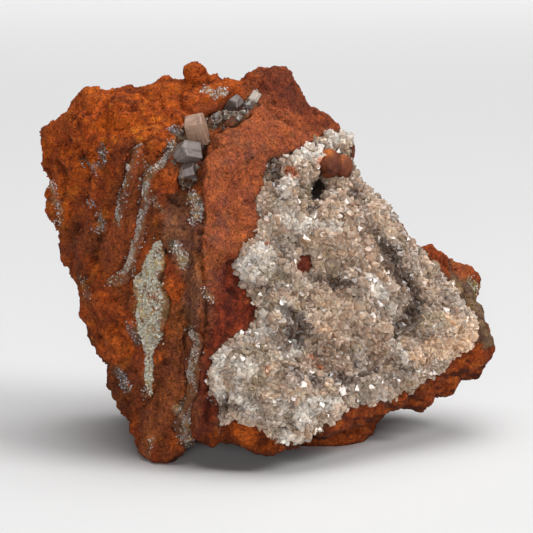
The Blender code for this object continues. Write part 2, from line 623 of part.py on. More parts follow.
# Its blocky crystals, as (right, up), the way each points, its spin, and its half sizes.
BLOCKY_CRYSTALS = [
    ((-10.8, 21.4), (-0.25, -0.55, 1.0), 0.3, (1.25, 1.15, 2.0)),
    ((-12.3, 17.6), (-0.9, -0.7, 0.25), 0.5, (1.2, 1.1, 1.6)),
    ((-12.2, 14.6), (-0.2, -0.9, 0.5), 0.2, (1.2, 0.9, 1.2)),
    ((-4.9, 25.0), (0.5, -0.7, 0.8), 0.4, (0.9, 0.8, 1.4)),
    ((-1.9, 26.0), (0.3, -0.8, 0.5), 0.9, (0.8, 0.6, 1.0)),
]


def fissure_surface(point, inward):
    return bed_height(FISSURE_RISE, inward)


def blocky_crystals(crust):
    made = []
    for (right, up), way, spin, sizes in BLOCKY_CRYSTALS:
        at = seen_at(crust.tree, right, up)
        axis = Vector(way).normalized()
        made.append((at + 0.25 * sizes[2] * crust.out, axis, spin, sizes))
    return made


# The crusts on the left face and in the fissure, as (name, outline, the way it faces, its points'
# spacing, thickness, surface, (its crystals' spacing, smallest and largest half width)).
SMALL_CRUSTS = [
    ("pale_crust", PALE_OUTLINE, LEFT_OUT, 2.2, 1.2, vein_surface, (3.0, 0.6, 0.9)),
    ("upper_vein", UPPER_VEIN_OUTLINE, LEFT_OUT, 2.8, 1.0, vein_surface, (2.4, 0.5, 0.7)),
    ("middle_vein", MIDDLE_VEIN_OUTLINE, LEFT_OUT, 2.8, 1.0, vein_surface, (2.4, 0.5, 0.7)),
    ("lower_vein", LOWER_VEIN_OUTLINE, LOWER_OUT, 2.8, 1.0, vein_surface, (2.4, 0.5, 0.7)),
    ("fissure_crystals", FISSURE_OUTLINE, FISSURE_OUT, 2.6, 1.2, fissure_surface, (2.9, 0.7, 1.0)),
]


def front_crust(tree):
    pits = [spot for path, width, form in FRONT_FORMS if form < DEEP_FORM for spot in path]
    sizes = (FRONT_SPACING, FRONT_THICKNESS)
    crust = Crust("front_crust", tree, FRONT_OUTLINE, FRONT_OUT, *sizes, front_surface, pits)
    return crust, front_crystals(crust)


def small_crusts(tree):
    made = []
    for name, outline, out, spacing, thickness, surface, crystals in SMALL_CRUSTS:
        crust = Crust(name, tree, outline, out, spacing, thickness, surface)
        made.append((crust, vein_crystals(crust, *crystals)))
    fissure, crystals = made[-1]
    crystals += blocky_crystals(fissure)
    return made


def nodules_into(bm, lumps, grow=0.0):
    for centre, way, radii in lumps:
        squash = Matrix.Diagonal([r + grow for r in radii] + [1.0])
        turn = Vector(way).to_track_quat("Z", "Y").to_matrix().to_4x4()
        at = Matrix.Translation(centre) @ turn @ squash
        bmesh.ops.create_icosphere(bm, subdivisions=2, radius=1.0, matrix=at)


def nodule_object(name, lumps, grow=0.0):
    bm = bmesh.new()
    nodules_into(bm, lumps[:1], grow)
    made = object_from(bm, name)
    for lump in lumps[1:]:
        bm = bmesh.new()
        nodules_into(bm, [lump], grow)
        combine(made, object_from(bm, name + "_part"), "UNION")
    return made


def crust_object(crust, crystals):
    """The crust's slab with its crystals fused to it."""
    bm = bmesh.new()
    crust.slab_into(bm)
    made = object_from(bm, crust.name)
    bm = bmesh.new()
    for at, axis, spin, sizes in crystals:
        crystal_into(bm, at, axis, spin, sizes)
    return combine(made, object_from(bm, crust.name + "_crystals"), "UNION")


# How far a recess is cut open in front of its crust.
RECESS_REACH = 6.0


def carve(matrix, crust, crystals):
    """Cuts the crust's recess into the block, a gap larger all round."""
    bm = bmesh.new()
    crust.slab_into(bm, grow=GAP, open_front=RECESS_REACH)
    combine(matrix, object_from(bm, "recess"), "DIFFERENCE")
    bm = bmesh.new()
    for at, axis, spin, sizes in crystals:
        crystal_into(bm, at, axis, spin, sizes, grow=GAP)
    combine(matrix, object_from(bm, "crystal_recess"), "DIFFERENCE")


# Colours and finish

FINISHES = {
    "matrix": ((0.36, 0.10, 0.03), 0.92),
    "front_crust": ((0.66, 0.60, 0.54), 0.35),
    "pale_crust": ((0.66, 0.64, 0.50), 0.6),
    "upper_vein": ((0.52, 0.46, 0.42), 0.5),
    "middle_vein": ((0.52, 0.46, 0.42), 0.5),
    "lower_vein": ((0.52, 0.46, 0.42), 0.5),
    "fissure_crystals": ((0.33, 0.27, 0.22), 0.4),
    "oxide_nodules": ((0.22, 0.07, 0.03), 0.7),
    "oxide_tuft": ((0.28, 0.06, 0.03), 0.9),
}


def finish(obj):
    """Gives the object its material and its real size."""
    colour, roughness = FINISHES[obj.name]
    material = bpy.data.materials.new(obj.name)
    material.use_nodes = True
    shader = material.node_tree.nodes["Principled BSDF"]
    shader.inputs["Base Color"].default_value = (*colour, 1.0)
    shader.inputs["Roughness"].default_value = roughness
    shader.inputs["Metallic"].default_value = 0.0
    obj.data.materials.clear()
    obj.data.materials.append(material)
    obj.data.transform(Matrix.Scale(MM, 4) @ Matrix.Translation(-BOX_MIDDLE))
    obj.data.shade_flat()


def main():
    for obj in list(bpy.data.objects):
        bpy.data.objects.remove(obj)
    matrix = matrix_block()
    tree = BVHTree.FromObject(matrix, bpy.context.evaluated_depsgraph_get())
    crusts = [front_crust(tree)] + small_crusts(tree)
    thin(matrix, MATRIX_FACETS)
    combine(matrix, floor_cutter(), "DIFFERENCE")
    made = [matrix]
    for crust, crystals in crusts:
        made.append(crust_object(crust, crystals))
        carve(matrix, crust, crystals)
    for name, lumps in (("oxide_nodules", NODULES), ("oxide_tuft", TUFT)):
        for host in (matrix, made[1]):
            combine(host, nodule_object(name + "_gap", lumps, GAP), "DIFFERENCE")
        made.append(nodule_object(name, lumps))
    for obj in made:
        finish(obj)


main()
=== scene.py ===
import math

import bpy
import numpy as np
from mathutils import Matrix, Vector
from mathutils.bvhtree import BVHTree


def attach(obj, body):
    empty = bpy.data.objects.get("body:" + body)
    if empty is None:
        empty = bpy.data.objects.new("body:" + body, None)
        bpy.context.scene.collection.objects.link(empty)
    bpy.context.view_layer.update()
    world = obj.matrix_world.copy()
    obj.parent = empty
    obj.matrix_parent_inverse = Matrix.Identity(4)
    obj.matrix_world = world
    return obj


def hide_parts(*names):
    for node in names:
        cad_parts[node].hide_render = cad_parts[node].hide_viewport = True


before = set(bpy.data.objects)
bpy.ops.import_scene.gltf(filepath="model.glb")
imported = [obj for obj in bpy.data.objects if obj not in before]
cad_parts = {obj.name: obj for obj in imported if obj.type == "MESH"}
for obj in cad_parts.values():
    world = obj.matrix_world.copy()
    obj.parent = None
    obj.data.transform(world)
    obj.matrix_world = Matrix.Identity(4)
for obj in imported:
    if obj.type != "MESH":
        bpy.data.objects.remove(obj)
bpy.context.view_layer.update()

mm = 0.001

# Where the rock is looked at from. Places on it are given in the picture's pixels, from the top left.
view = {"distance": 380.0, "tilt": 10.0, "height": 27.7, "pixels": 533, "focalPixels": 2451.6}
viewTilt = math.radians(view["tilt"])
viewForward = np.array([0, math.cos(viewTilt), -math.sin(viewTilt)])
viewUp = np.array([0, math.sin(viewTilt), math.cos(viewTilt)])
viewEye = np.array([0, 0, view["height"]]) - view["distance"] * viewForward
boxMiddle = Vector((0.28, 1.32, 0))  # the middle of the rock's box, from the point that the view aims at


# Shared helpers

def toLinear(hexColour):
    parts = [int(hexColour[i:i + 2], 16) / 255 for i in (1, 3, 5)]
    return tuple(c / 12.92 if c <= 0.04045 else ((c + 0.055) / 1.055) ** 2.4 for c in parts)


def addNode(tree, kind, settings=None, links=None):
    node = tree.nodes.new(kind)
    for name, value in (settings or {}).items():
        if isinstance(name, str) and hasattr(node, name):
            setattr(node, name, value)
        else:
            node.inputs[name].default_value = value
    for name, source in (links or {}).items():
        tree.links.new(source, node.inputs[name])
    return node


def newMaterial(name):
    material = bpy.data.materials.new(name)
    material.use_nodes = True
    return material, material.node_tree, material.node_tree.nodes["Principled BSDF"]


def seenAt(points):
    # picture pixels of points in millimetres
    offset = points - viewEye
    depth = offset @ viewForward
    half = view["pixels"] / 2
    return np.stack([half + view["focalPixels"] * offset[:, 0] / depth,
                     half - view["focalPixels"] * (offset @ viewUp) / depth], axis=1)


def facingViewer(points, normals):
    toEye = viewEye - points
    toEye /= np.linalg.norm(toEye, axis=1)[:, None]
    return soft((normals * toEye).sum(axis=1), -0.12, 0.08)


def hashed(cell, seed):
    mixed = cell[:, 0] * 374761393 + cell[:, 1] * 668265263 + cell[:, 2] * 1274126177 + seed * 69069
    mixed = mixed & 0xFFFFFFFF
    mixed = ((mixed ^ (mixed >> 13)) * 1103515245) & 0xFFFFFFFF
    mixed = ((mixed ^ (mixed >> 16)) * 1540483477) & 0xFFFFFFFF
    return ((mixed ^ (mixed >> 15)) & 0xFFFFFF) / 0xFFFFFF


def lumps(points, size, seed=0):
    # smooth noise from -1 to 1, with lumps about this many millimetres across
    scaled = points / size + 57.3
    base = np.floor(scaled).astype(np.int64)
    part = scaled - base
    part = part * part * (3 - 2 * part)
    total = np.zeros(len(points))
    for corner in np.ndindex(2, 2, 2):
        weight = np.prod(np.where(corner, part, 1 - part), axis=1)
        total += weight * hashed(base + np.array(corner), seed)
    return 2 * total - 1


def rough(points, size, seed=0, steps=3):
    return sum(lumps(points, size / 2 ** i, seed + i) / 2 ** i for i in range(steps))


def grains(points, size, seed=0):
    # distance to the nearest grain's middle, in grain sizes, and the grain's own number
    scaled = points / size + 31.7
    base = np.floor(scaled).astype(np.int64)
    nearest = np.full(len(points), 9.0)
    own = np.zeros(len(points))
    for step in np.ndindex(3, 3, 3):
        cell = base + np.array(step) - 1
        shift = np.stack([hashed(cell, seed + 11), hashed(cell, seed + 23), hashed(cell, seed + 37)], axis=1)
        gap = ((scaled - cell - shift) ** 2).sum(axis=1)
        own = np.where(gap < nearest, hashed(cell, seed + 51), own)
        nearest = np.minimum(nearest, gap)
    return np.sqrt(nearest), own


def soft(value, low, high):
    part = np.clip((value - low) / (high - low), 0, 1)
    return part * part * (3 - 2 * part)


def toPath(places, path):
    best = np.full(len(places), 1e9)
    for start, end in zip(path, path[1:]):
        start, along = np.array(start, float), np.array(end, float) - np.array(start, float)
        share = np.clip((places - start) @ along / max(along @ along, 1e-9), 0, 1)
        best = np.minimum(best, np.linalg.norm(places - start - share[:, None] * along, axis=1))
    return best


def within(places, outline):
    # pixels inside an outline, negative outside it
    inside = np.zeros(len(places), bool)
    for (x0, y0), (x1, y1) in zip(outline, outline[1:] + outline[:1]):
        spans = (y0 > places[:, 1]) != (y1 > places[:, 1])
        cross = x0 + (places[:, 1] - y0) * (x1 - x0) / (y1 - y0 if y1 != y0 else 1e-9)
        inside ^= spans & (places[:, 0] < cross)
    gap = toPath(places, outline + outline[:1])
    return np.where(inside, gap, -gap)


def meshArrays(mesh):
    points = np.empty(len(mesh.vertices) * 3)
    mesh.vertices.foreach_get("co", points)
    normals = np.empty(len(mesh.vertices) * 3)
    mesh.vertex_normals.foreach_get("vector", normals)
    return points.reshape(-1, 3), normals.reshape(-1, 3)


def setPoints(mesh, points):
    mesh.vertices.foreach_set("co", points.astype(np.float32).ravel())
    mesh.update()


def setStain(mesh, colours):
    stain = mesh.color_attributes.new("stain", "FLOAT_COLOR", "POINT")
    rgba = np.concatenate([np.clip(colours, 0, 1), np.ones((len(colours), 1))], axis=1)
    stain.data.foreach_set("color", rgba.astype(np.float32).ravel())


def settled(piece):
    graph = bpy.context.evaluated_depsgraph_get()
    graph.update()
    mesh = bpy.data.meshes.new_from_object(piece.evaluated_get(graph))
    piece.modifiers.clear()
    piece.data = mesh


def addPiece(name, mesh):
    piece = bpy.data.objects.new(name, mesh)
    bpy.context.scene.collection.objects.link(piece)
    return piece


def inMillimetres(mesh):
    copy = mesh.copy()
    copy.transform(Matrix.Translation(boxMiddle) @ Matrix.Scale(1000, 4))
    return copy


def fineCopy(node, name, voxel, smoothing):
    # a fine-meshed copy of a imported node, in millimetres, its flat facets rounded off
    piece = addPiece(name, inMillimetres(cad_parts[node].data))
    remesh = piece.modifiers.new("fine", "REMESH")
    remesh.mode = "VOXEL"
    remesh.voxel_size = voxel
    rounding = piece.modifiers.new("rounding", "SMOOTH")
    rounding.factor = 0.5
    rounding.iterations = smoothing
    settled(piece)
    return piece


def thinned(piece, triangles):
    piece.data.calc_loop_triangles()
    fewer = piece.modifiers.new("fewer", "DECIMATE")
    fewer.ratio = min(1, triangles / len(piece.data.loop_triangles))
    settled(piece)


def finished(piece, material, smooth=True, node=None):
    piece.data.transform(Matrix.Scale(mm, 4) @ Matrix.Translation(-boxMiddle))
    piece.data.materials.clear()
    piece.data.materials.append(material)
    if smooth:
        piece.data.shade_smooth()
    else:
        piece.data.shade_flat()
    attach(piece, "root")
    if node:
        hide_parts(node)
    piece.data.calc_loop_triangles()
    print(piece.name, len(piece.data.loop_triangles), "triangles")
    return piece


def palette(*hexColours):
    return np.array([toLinear(c) for c in hexColours])


def mixed(below, above, share):
    return below + (above - below) * share[:, None]


def blend(low, high, share):
    # from one hex colour to another, for each point
    return mixed(palette(low), palette(high), share)


def surfaceSpots(mesh, count, dice, keep):
    # random places on a mesh, evenly by area times keep, with their normals
    mesh.calc_loop_triangles()
    corners = np.empty(len(mesh.loop_triangles) * 3, np.int64)
    mesh.loop_triangles.foreach_get("vertices", corners)
    corners = corners.reshape(-1, 3)
    points, normals = meshArrays(mesh)
    a, b, c = points[corners[:, 0]], points[corners[:, 1]], points[corners[:, 2]]
    cross = np.cross(b - a, c - a)
    area = np.linalg.norm(cross, axis=1)
    area = area * keep((a + b + c) / 3, cross / np.maximum(area, 1e-12)[:, None])
    chosen = dice.choice(len(corners), size=count, p=area / area.sum())
    s, t = dice.random(count), dice.random(count)
    over = s + t > 1
    s, t = np.where(over, 1 - s, s), np.where(over, 1 - t, t)
    spots = a[chosen] + s[:, None] * (b - a)[chosen] + t[:, None] * (c - a)[chosen]
    return spots, normals[corners[chosen]].mean(axis=1)


def meshOf(name, points, faces, colours):
    # many copies of one small form in one mesh: points and colours by copy, corner and axis
    count, corners = points.shape[:2]
    offsets = np.arange(count)[:, None] * corners
    loops = np.concatenate([offsets + np.array(f) for f in faces], axis=1)
    sizes = np.tile([len(f) for f in faces], count)
    mesh = bpy.data.meshes.new(name)
    mesh.vertices.add(count * corners)
    mesh.vertices.foreach_set("co", points.astype(np.float32).ravel())
    mesh.loops.add(loops.size)
    mesh.loops.foreach_set("vertex_index", loops.ravel().astype(np.int32))
    mesh.polygons.add(len(sizes))
    mesh.polygons.foreach_set("loop_start", np.concatenate([[0], np.cumsum(sizes)[:-1]]).astype(np.int32))
    mesh.update(calc_edges=True)
    setStain(mesh, colours.reshape(-1, 3))
    return mesh


# Iron oxide rock: earthy limonite, dull and porous, with powdery ochre on the knobs and red hematite between
rock = {
    "voxel": 0.27,
    "rounding": 10,
    "triangles": 195000,
    "knobSize": 2.7,
    "knobHeight": 0.55,
    "nubSize": 1.15,
    "nubHeight": 0.18,
    "spongeSize": 0.8,
    "spongeHeight": 0.16,
    "pitSize": 1.9,
    "pitDepth": 0.65,
    "rust": "#a34d22",
    "orange": "#b25a24",
    "ochre": "#c17430",
    "brown": "#7a4225",
    "darkBrown": "#4f2413",
    "redBrown": "#85442f",
    "paleRed": "#a85f45",
    "deepRed": "#6d2d1e",
    "purple": "#70504a",
    "slate": "#7d6f65",
    "edge": "#5b4038",
    "shadow": "#241009",
    "topTint": (1.0, 0.98, 0.7),
    "depth": (0.9, 0.85, 0.7),  # share of red, green and blue that the porous ground gives back
}

orangeTop = [(30, 150), (45, 128), (75, 95), (100, 80), (180, 60), (262, 62), (247, 88), (222, 104), (196, 112),
             (184, 128), (172, 145), (160, 165), (148, 150), (128, 140), (112, 150), (102, 175), (84, 190),
             (66, 220), (40, 215)]
redRidge = [(262, 60), (287, 62), (312, 100), (338, 120), (350, 136), (325, 140), (303, 152), (272, 160),
            (266, 190), (258, 205), (262, 232), (240, 262), (262, 315), (240, 335), (214, 360), (212, 388),
            (221, 408), (214, 430), (196, 440), (190, 412), (200, 390), (204, 350), (201, 300), (203, 250),
            (202, 200), (206, 160), (214, 132), (246, 104)]
ridgeTop = [(262, 60), (287, 62), (312, 100), (338, 120), (318, 130), (296, 118), (276, 100), (262, 104),
            (250, 96)]
ridgeLow = [(258, 240), (240, 262), (262, 315), (240, 335), (214, 360), (212, 388), (221, 408), (214, 430),
            (196, 440), (203, 380), (206, 330), (214, 290), (226, 262)]
purpleBand = [(172, 196), (186, 190), (200, 204), (203, 250), (205, 300), (200, 330), (190, 330), (180, 300),
              (172, 262), (163, 232), (164, 210)]
brownLayer = [(136, 150), (148, 150), (146, 190), (136, 220), (128, 262), (112, 270), (100, 268), (106, 240),
              (122, 222), (128, 190)]
brownFlute = [(167, 305), (186, 305), (192, 340), (186, 375), (176, 402), (158, 440), (150, 458), (138, 446),
              (140, 415), (158, 385), (166, 350)]
slateFace = [(447, 262), (456, 256), (470, 280), (486, 296), (497, 346), (484, 350), (476, 330), (466, 305),
             (452, 290)]
rimBand = [(496, 338), (480, 341), (457, 351), (428, 379), (404, 392), (346, 402), (322, 426), (292, 443),
           (284, 470), (400, 440), (520, 390)]
bottomOrange = [(212, 428), (222, 418), (236, 424), (258, 424), (288, 443), (282, 470), (196, 470), (190, 448)]
frontOutline = [(353, 150), (345, 130), (325, 137), (305, 150), (290, 158), (272, 160), (268, 170), (265, 190),
                (258, 200), (262, 215), (262, 230), (255, 240), (242, 255), (240, 265), (245, 280), (250, 290),
                (262, 305), (262, 315), (255, 330), (240, 335), (225, 345), (218, 352), (213, 370), (213, 385),
                (222, 400), (222, 410), (218, 425), (235, 415), (250, 416), (262, 425), (275, 435), (290, 442),
                (300, 440), (315, 430), (340, 412), (345, 402), (365, 400), (385, 400), (405, 390), (425, 378),
                (440, 365), (455, 348), (470, 340), (480, 338), (475, 325), (462, 305), (452, 290), (440, 275),
                (425, 258), (407, 240), (397, 227), (387, 208), (373, 193), (360, 180)]
# powdery ochre lumps, as (middle, radius) in pixels
ochreLumps = [((116, 342), 20), ((157, 176), 12), ((173, 288), 13), ((121, 316), 10), ((244, 433), 13),
              ((178, 441), 7), ((92, 268), 9), ((98, 298), 9), ((158, 356), 7), ((194, 74), 11),
              ((232, 84), 9), ((148, 374), 8), ((464, 268), 13), ((220, 96), 7), ((58, 130), 12),
              ((95, 96), 16), ((150, 92), 11), ((72, 165), 9), ((60, 180), 8), ((124, 120), 9)]
# dark clefts between the layers and lumps, as (path, half width in pixels, depth in millimetres)
clefts = [([(204, 148), (205, 170), (200, 190), (203, 215), (200, 250), (203, 285), (205, 325)], 2.2, 0.5),
          ([(199, 146), (204, 153)], 3.0, 1.1), ([(169, 197), (180, 204)], 2.5, 0.9),
          ([(186, 168), (196, 180)], 2.6, 0.5), ([(150, 366), (147, 385), (143, 402)], 1.8, 0.6),
          ([(136, 412), (150, 398), (162, 379)], 1.8, 0.5), ([(109, 300), (104, 315), (104, 345)], 2.0, 0.5),
          ([(182, 90), (178, 102), (190, 112)], 2.4, 0.7), ([(140, 92), (150, 101), (158, 96)], 2.2, 0.6),
          ([(128, 152), (124, 180), (112, 204)], 1.6, 0.45), ([(150, 186), (150, 214), (140, 240)], 1.5, 0.45),
          ([(58, 160), (66, 176), (62, 200)], 2.6, 0.8), ([(82, 150), (90, 170), (84, 200)], 2.0, 0.6),
          ([(100, 236), (96, 262), (84, 280)], 2.0, 0.5), ([(185, 305), (188, 330), (180, 372)], 1.6, 0.4),
          ([(206, 375), (211, 395), (205, 420)], 2.2, 0.5), ([(232, 262), (226, 285), (240, 300)], 2.2, 0.5),
          ([(262, 100), (280, 118), (300, 130)], 1.5, 0.35), ([(66, 228), (74, 250), (70, 268)], 2.0, 0.6),
          ([(222, 418), (240, 421), (262, 428), (288, 444)], 1.8, 0.5)]


def layersOf(points):
    # the layers of the left block stand nearly upright and lean to the left as they go down
    sway = np.stack([rough(points, 7.0, 201), rough(points, 7.0, 211), np.zeros(len(points))], axis=1)
    bent = points + 0.9 * sway
    return bent * np.array([1.0, 0.55, 0.13]) - np.array([0.24, 0, 0]) * bent[:, 2:3]


def rockRelief(points, places, facing):
    orange = np.clip(soft(within(places, orangeTop), -12, 6) * facing + (1 - facing) * 0.55, 0, 1)
    ridge = soft(within(places, redRidge), -4, 6) * facing
    lowRidge = soft(within(places, ridgeLow), -6, 6) * facing
    flute = soft(within(places, brownFlute), -5, 5) * facing
    layer = soft(within(places, brownLayer), -3, 4) * facing
    calm = 1 - 0.5 * np.maximum(np.maximum(ridge * (1 - lowRidge), flute), layer)
    near, own = grains(points, rock["knobSize"], 1)
    knobs = np.clip(1 - (near / 0.7) ** 2, -0.3, 1) * (0.3 + 0.9 * own)
    fine = rock["knobHeight"] * knobs * (0.3 + 0.7 * orange) * calm
    near, own = grains(points, rock["nubSize"], 2)
    nubs = np.clip(1 - (near / 0.65) ** 2, -0.5, 1) * (0.3 + own)
    fine += rock["nubHeight"] * nubs * (0.35 + 0.65 * calm)
    sponge = np.clip(1 - np.abs(rough(points, rock["spongeSize"], 3, 2)) * 2, -0.8, 1)
    fine += rock["spongeHeight"] * sponge * (0.4 + 0.6 * calm)
    ribs = rough(layersOf(points), 1.5, 9)
    fine += 0.34 * np.sign(ribs) * np.abs(ribs) ** 0.7 * (1 - 0.8 * orange) * (1 - 0.8 * ridge)
    near, own = grains(points, rock["pitSize"], 4)
    fine -= rock["pitDepth"] * soft(0.36 - near, 0, 0.18) * (own > 0.55) * (1 - 0.5 * ridge)
    wander = 1.6 * lumps(points, 1.6, 6)
    for path, width, depth in clefts:
        fine -= depth * soft(width + 1.2 - toPath(places, path) + wander, 0, 2.4) * facing
    for (x, y), radius in ochreLumps:
        away = np.hypot(places[:, 0] - x, places[:, 1] - y) / radius
        fine += 0.035 * radius * np.clip(1 - away ** 2, 0, 1) * facing
    return (fine + 0.4 * rough(points, 4.5, 5)) * soft(points[:, 2], 0.1, 1.4), fine


def rockStain(points, normals, fine, places, facing):
    wander = 6 * rough(points, 3.2, 21) + 4 * lumps(points, 0.9, 22)
    broad = rough(points, 6.0, 31)
    middle = rough(points, 2.2, 32)
    small = rough(points, 0.9, 33)
    bands = rough(layersOf(points), 1.9, 34)
    # the common ground: rusty brown in upright bands
    colours = blend(rock["brown"], rock["rust"], soft(broad + 0.6 * middle, -0.3, 0.6) * 0.8)
    colours = mixed(colours, palette(rock["redBrown"]), soft(bands, 0.05, 0.5) * 0.55)
    colours = mixed(colours, palette(rock["darkBrown"]), soft(-bands + 0.4 * middle, 0.3, 0.9) * 0.7)
    colours = mixed(colours, palette(rock["ochre"]), soft(middle - 0.5 * bands + 0.3 * small, 0.45, 0.9) * 0.45)
    top = blend(rock["rust"], rock["orange"], soft(middle + 0.4 * small, -0.2, 0.5))
    top = mixed(top, palette(rock["ochre"]), soft(small + 0.6 * broad, 0.2, 0.9) * 0.7)
    top = mixed(top, palette(rock["darkBrown"]), soft(-small - 0.7 * middle, 0.25, 0.9) * 0.75)
    top *= np.array(rock["topTint"])
    ridge = mixed(palette(rock["paleRed"]), palette("#84503e"), soft(places[:, 1], 190, 320))
    ridge = mixed(ridge, palette("#98503a"), soft(middle, -0.1, 0.7) * 0.6)
    ridge = mixed(ridge, palette(rock["purple"]), soft(-middle + 0.5 * small, 0.3, 0.9) * 0.5)
    low = blend(rock["deepRed"], "#8a3c26", soft(small + 0.5 * middle, -0.1, 0.6))
    low = mixed(low, palette("#3f1a12"), soft(-small, 0.15, 0.7) * 0.6)
    beds = points * np.array([0.25, 0.3, 1.5]) + np.array([0, 0, 0.45]) * points[:, 0:1]
    layers = rough(beds, 1.0, 41)
    rim = blend("#8c421c", "#522412", soft(layers, 0.0, 0.6))
    rim = mixed(rim, palette("#b9692c"), soft(small - layers, 0.3, 0.9) * 0.5)
    # each zone: outline, colours, edge from and to in pixels, strength, how far its edge wanders
    zones = [
        (orangeTop, top, -8, 8, 1.0, 1.0),
        (brownLayer, blend("#8a4a2b", "#96503a", soft(bands + small * 0.4, -0.2, 0.7)), -2, 3, 0.85, 0.4),
        (brownFlute, blend("#94573a", "#b0704f", soft(bands + 0.5 * small, -0.2, 0.6) * 0.6), -4, 5, 0.9, 0.6),
        (redRidge, ridge, -4, 4, 1.0, 1.0),
        (ridgeLow, low, -9, 7, 1.0, 1.0),
        (ridgeTop, blend("#74392a", "#91492f", soft(small + middle, 0, 0.8)), -5, 5, 0.9, 1.0),
        (purpleBand, blend("#74524a", "#8f665a", soft(small, -0.2, 0.6)), -4, 5, 0.8, 0.8),
        (rimBand, rim, -2, 3, 1.0, 0.25),
        (bottomOrange, blend("#86400f", "#54240f", soft(small, 0.1, 0.7) * 0.7), -3, 4, 1.0, 1.0),
        (slateFace, blend(rock["slate"], "#5c4f48", soft(small + middle, 0, 0.8) * 0.6), -1, 2, 0.92, 0.15),
    ]
    for outline, colour, low, high, strength, shake in zones:
        share = soft(within(places, outline) + shake * wander, low, high) * facing * strength
        colours = mixed(colours, colour, share)
    powder = blend(rock["orange"], "#8f3f18", soft(small, 0, 0.7) * 0.8)
    for (x, y), radius in ochreLumps:
        away = np.hypot(places[:, 0] - x, places[:, 1] - y)
        colours = mixed(colours, powder, soft(radius - away + 0.6 * wander, -3, 4) * facing * 0.75)
    for path, width, share, kind in druseStreaks:
        patch = soft(0.7 * width - toPath(places, path) + 0.5 * wander, -1.5, 2) * facing
        colours = mixed(colours, palette(druseColours[kind][1]), patch * min(0.8, 0.5 * share))
    # a purple-brown line where the crystals start
    beside = -within(places, frontOutline)
    line = soft(5 - beside + 0.3 * wander, -1, 3) * facing
    colours = mixed(colours, palette(rock["edge"]), line * 0.85)
    # painted shade darkens the hollows and painted light brightens what stands proud; ochre dust is also mixed onto
    # what stands proud
    colours = colours * (0.55 + 0.62 * soft(fine, -0.7, 0.45))[:, None]
    colours = mixed(colours, palette(rock["ochre"]), soft(fine, 0.45, 1.1) * 0.25)
    # painted shadow: undersides near the floor are mixed towards the shadow colour
    under = soft(-normals[:, 2], 0.2, 0.9) * soft(14 - points[:, 2], 0, 10)
    colours = mixed(colours, palette(rock["shadow"]), under * 0.6)
    return colours * rock["depth"] * (1 + 0.1 * np.random.default_rng(5).normal(size=(len(points), 1)))


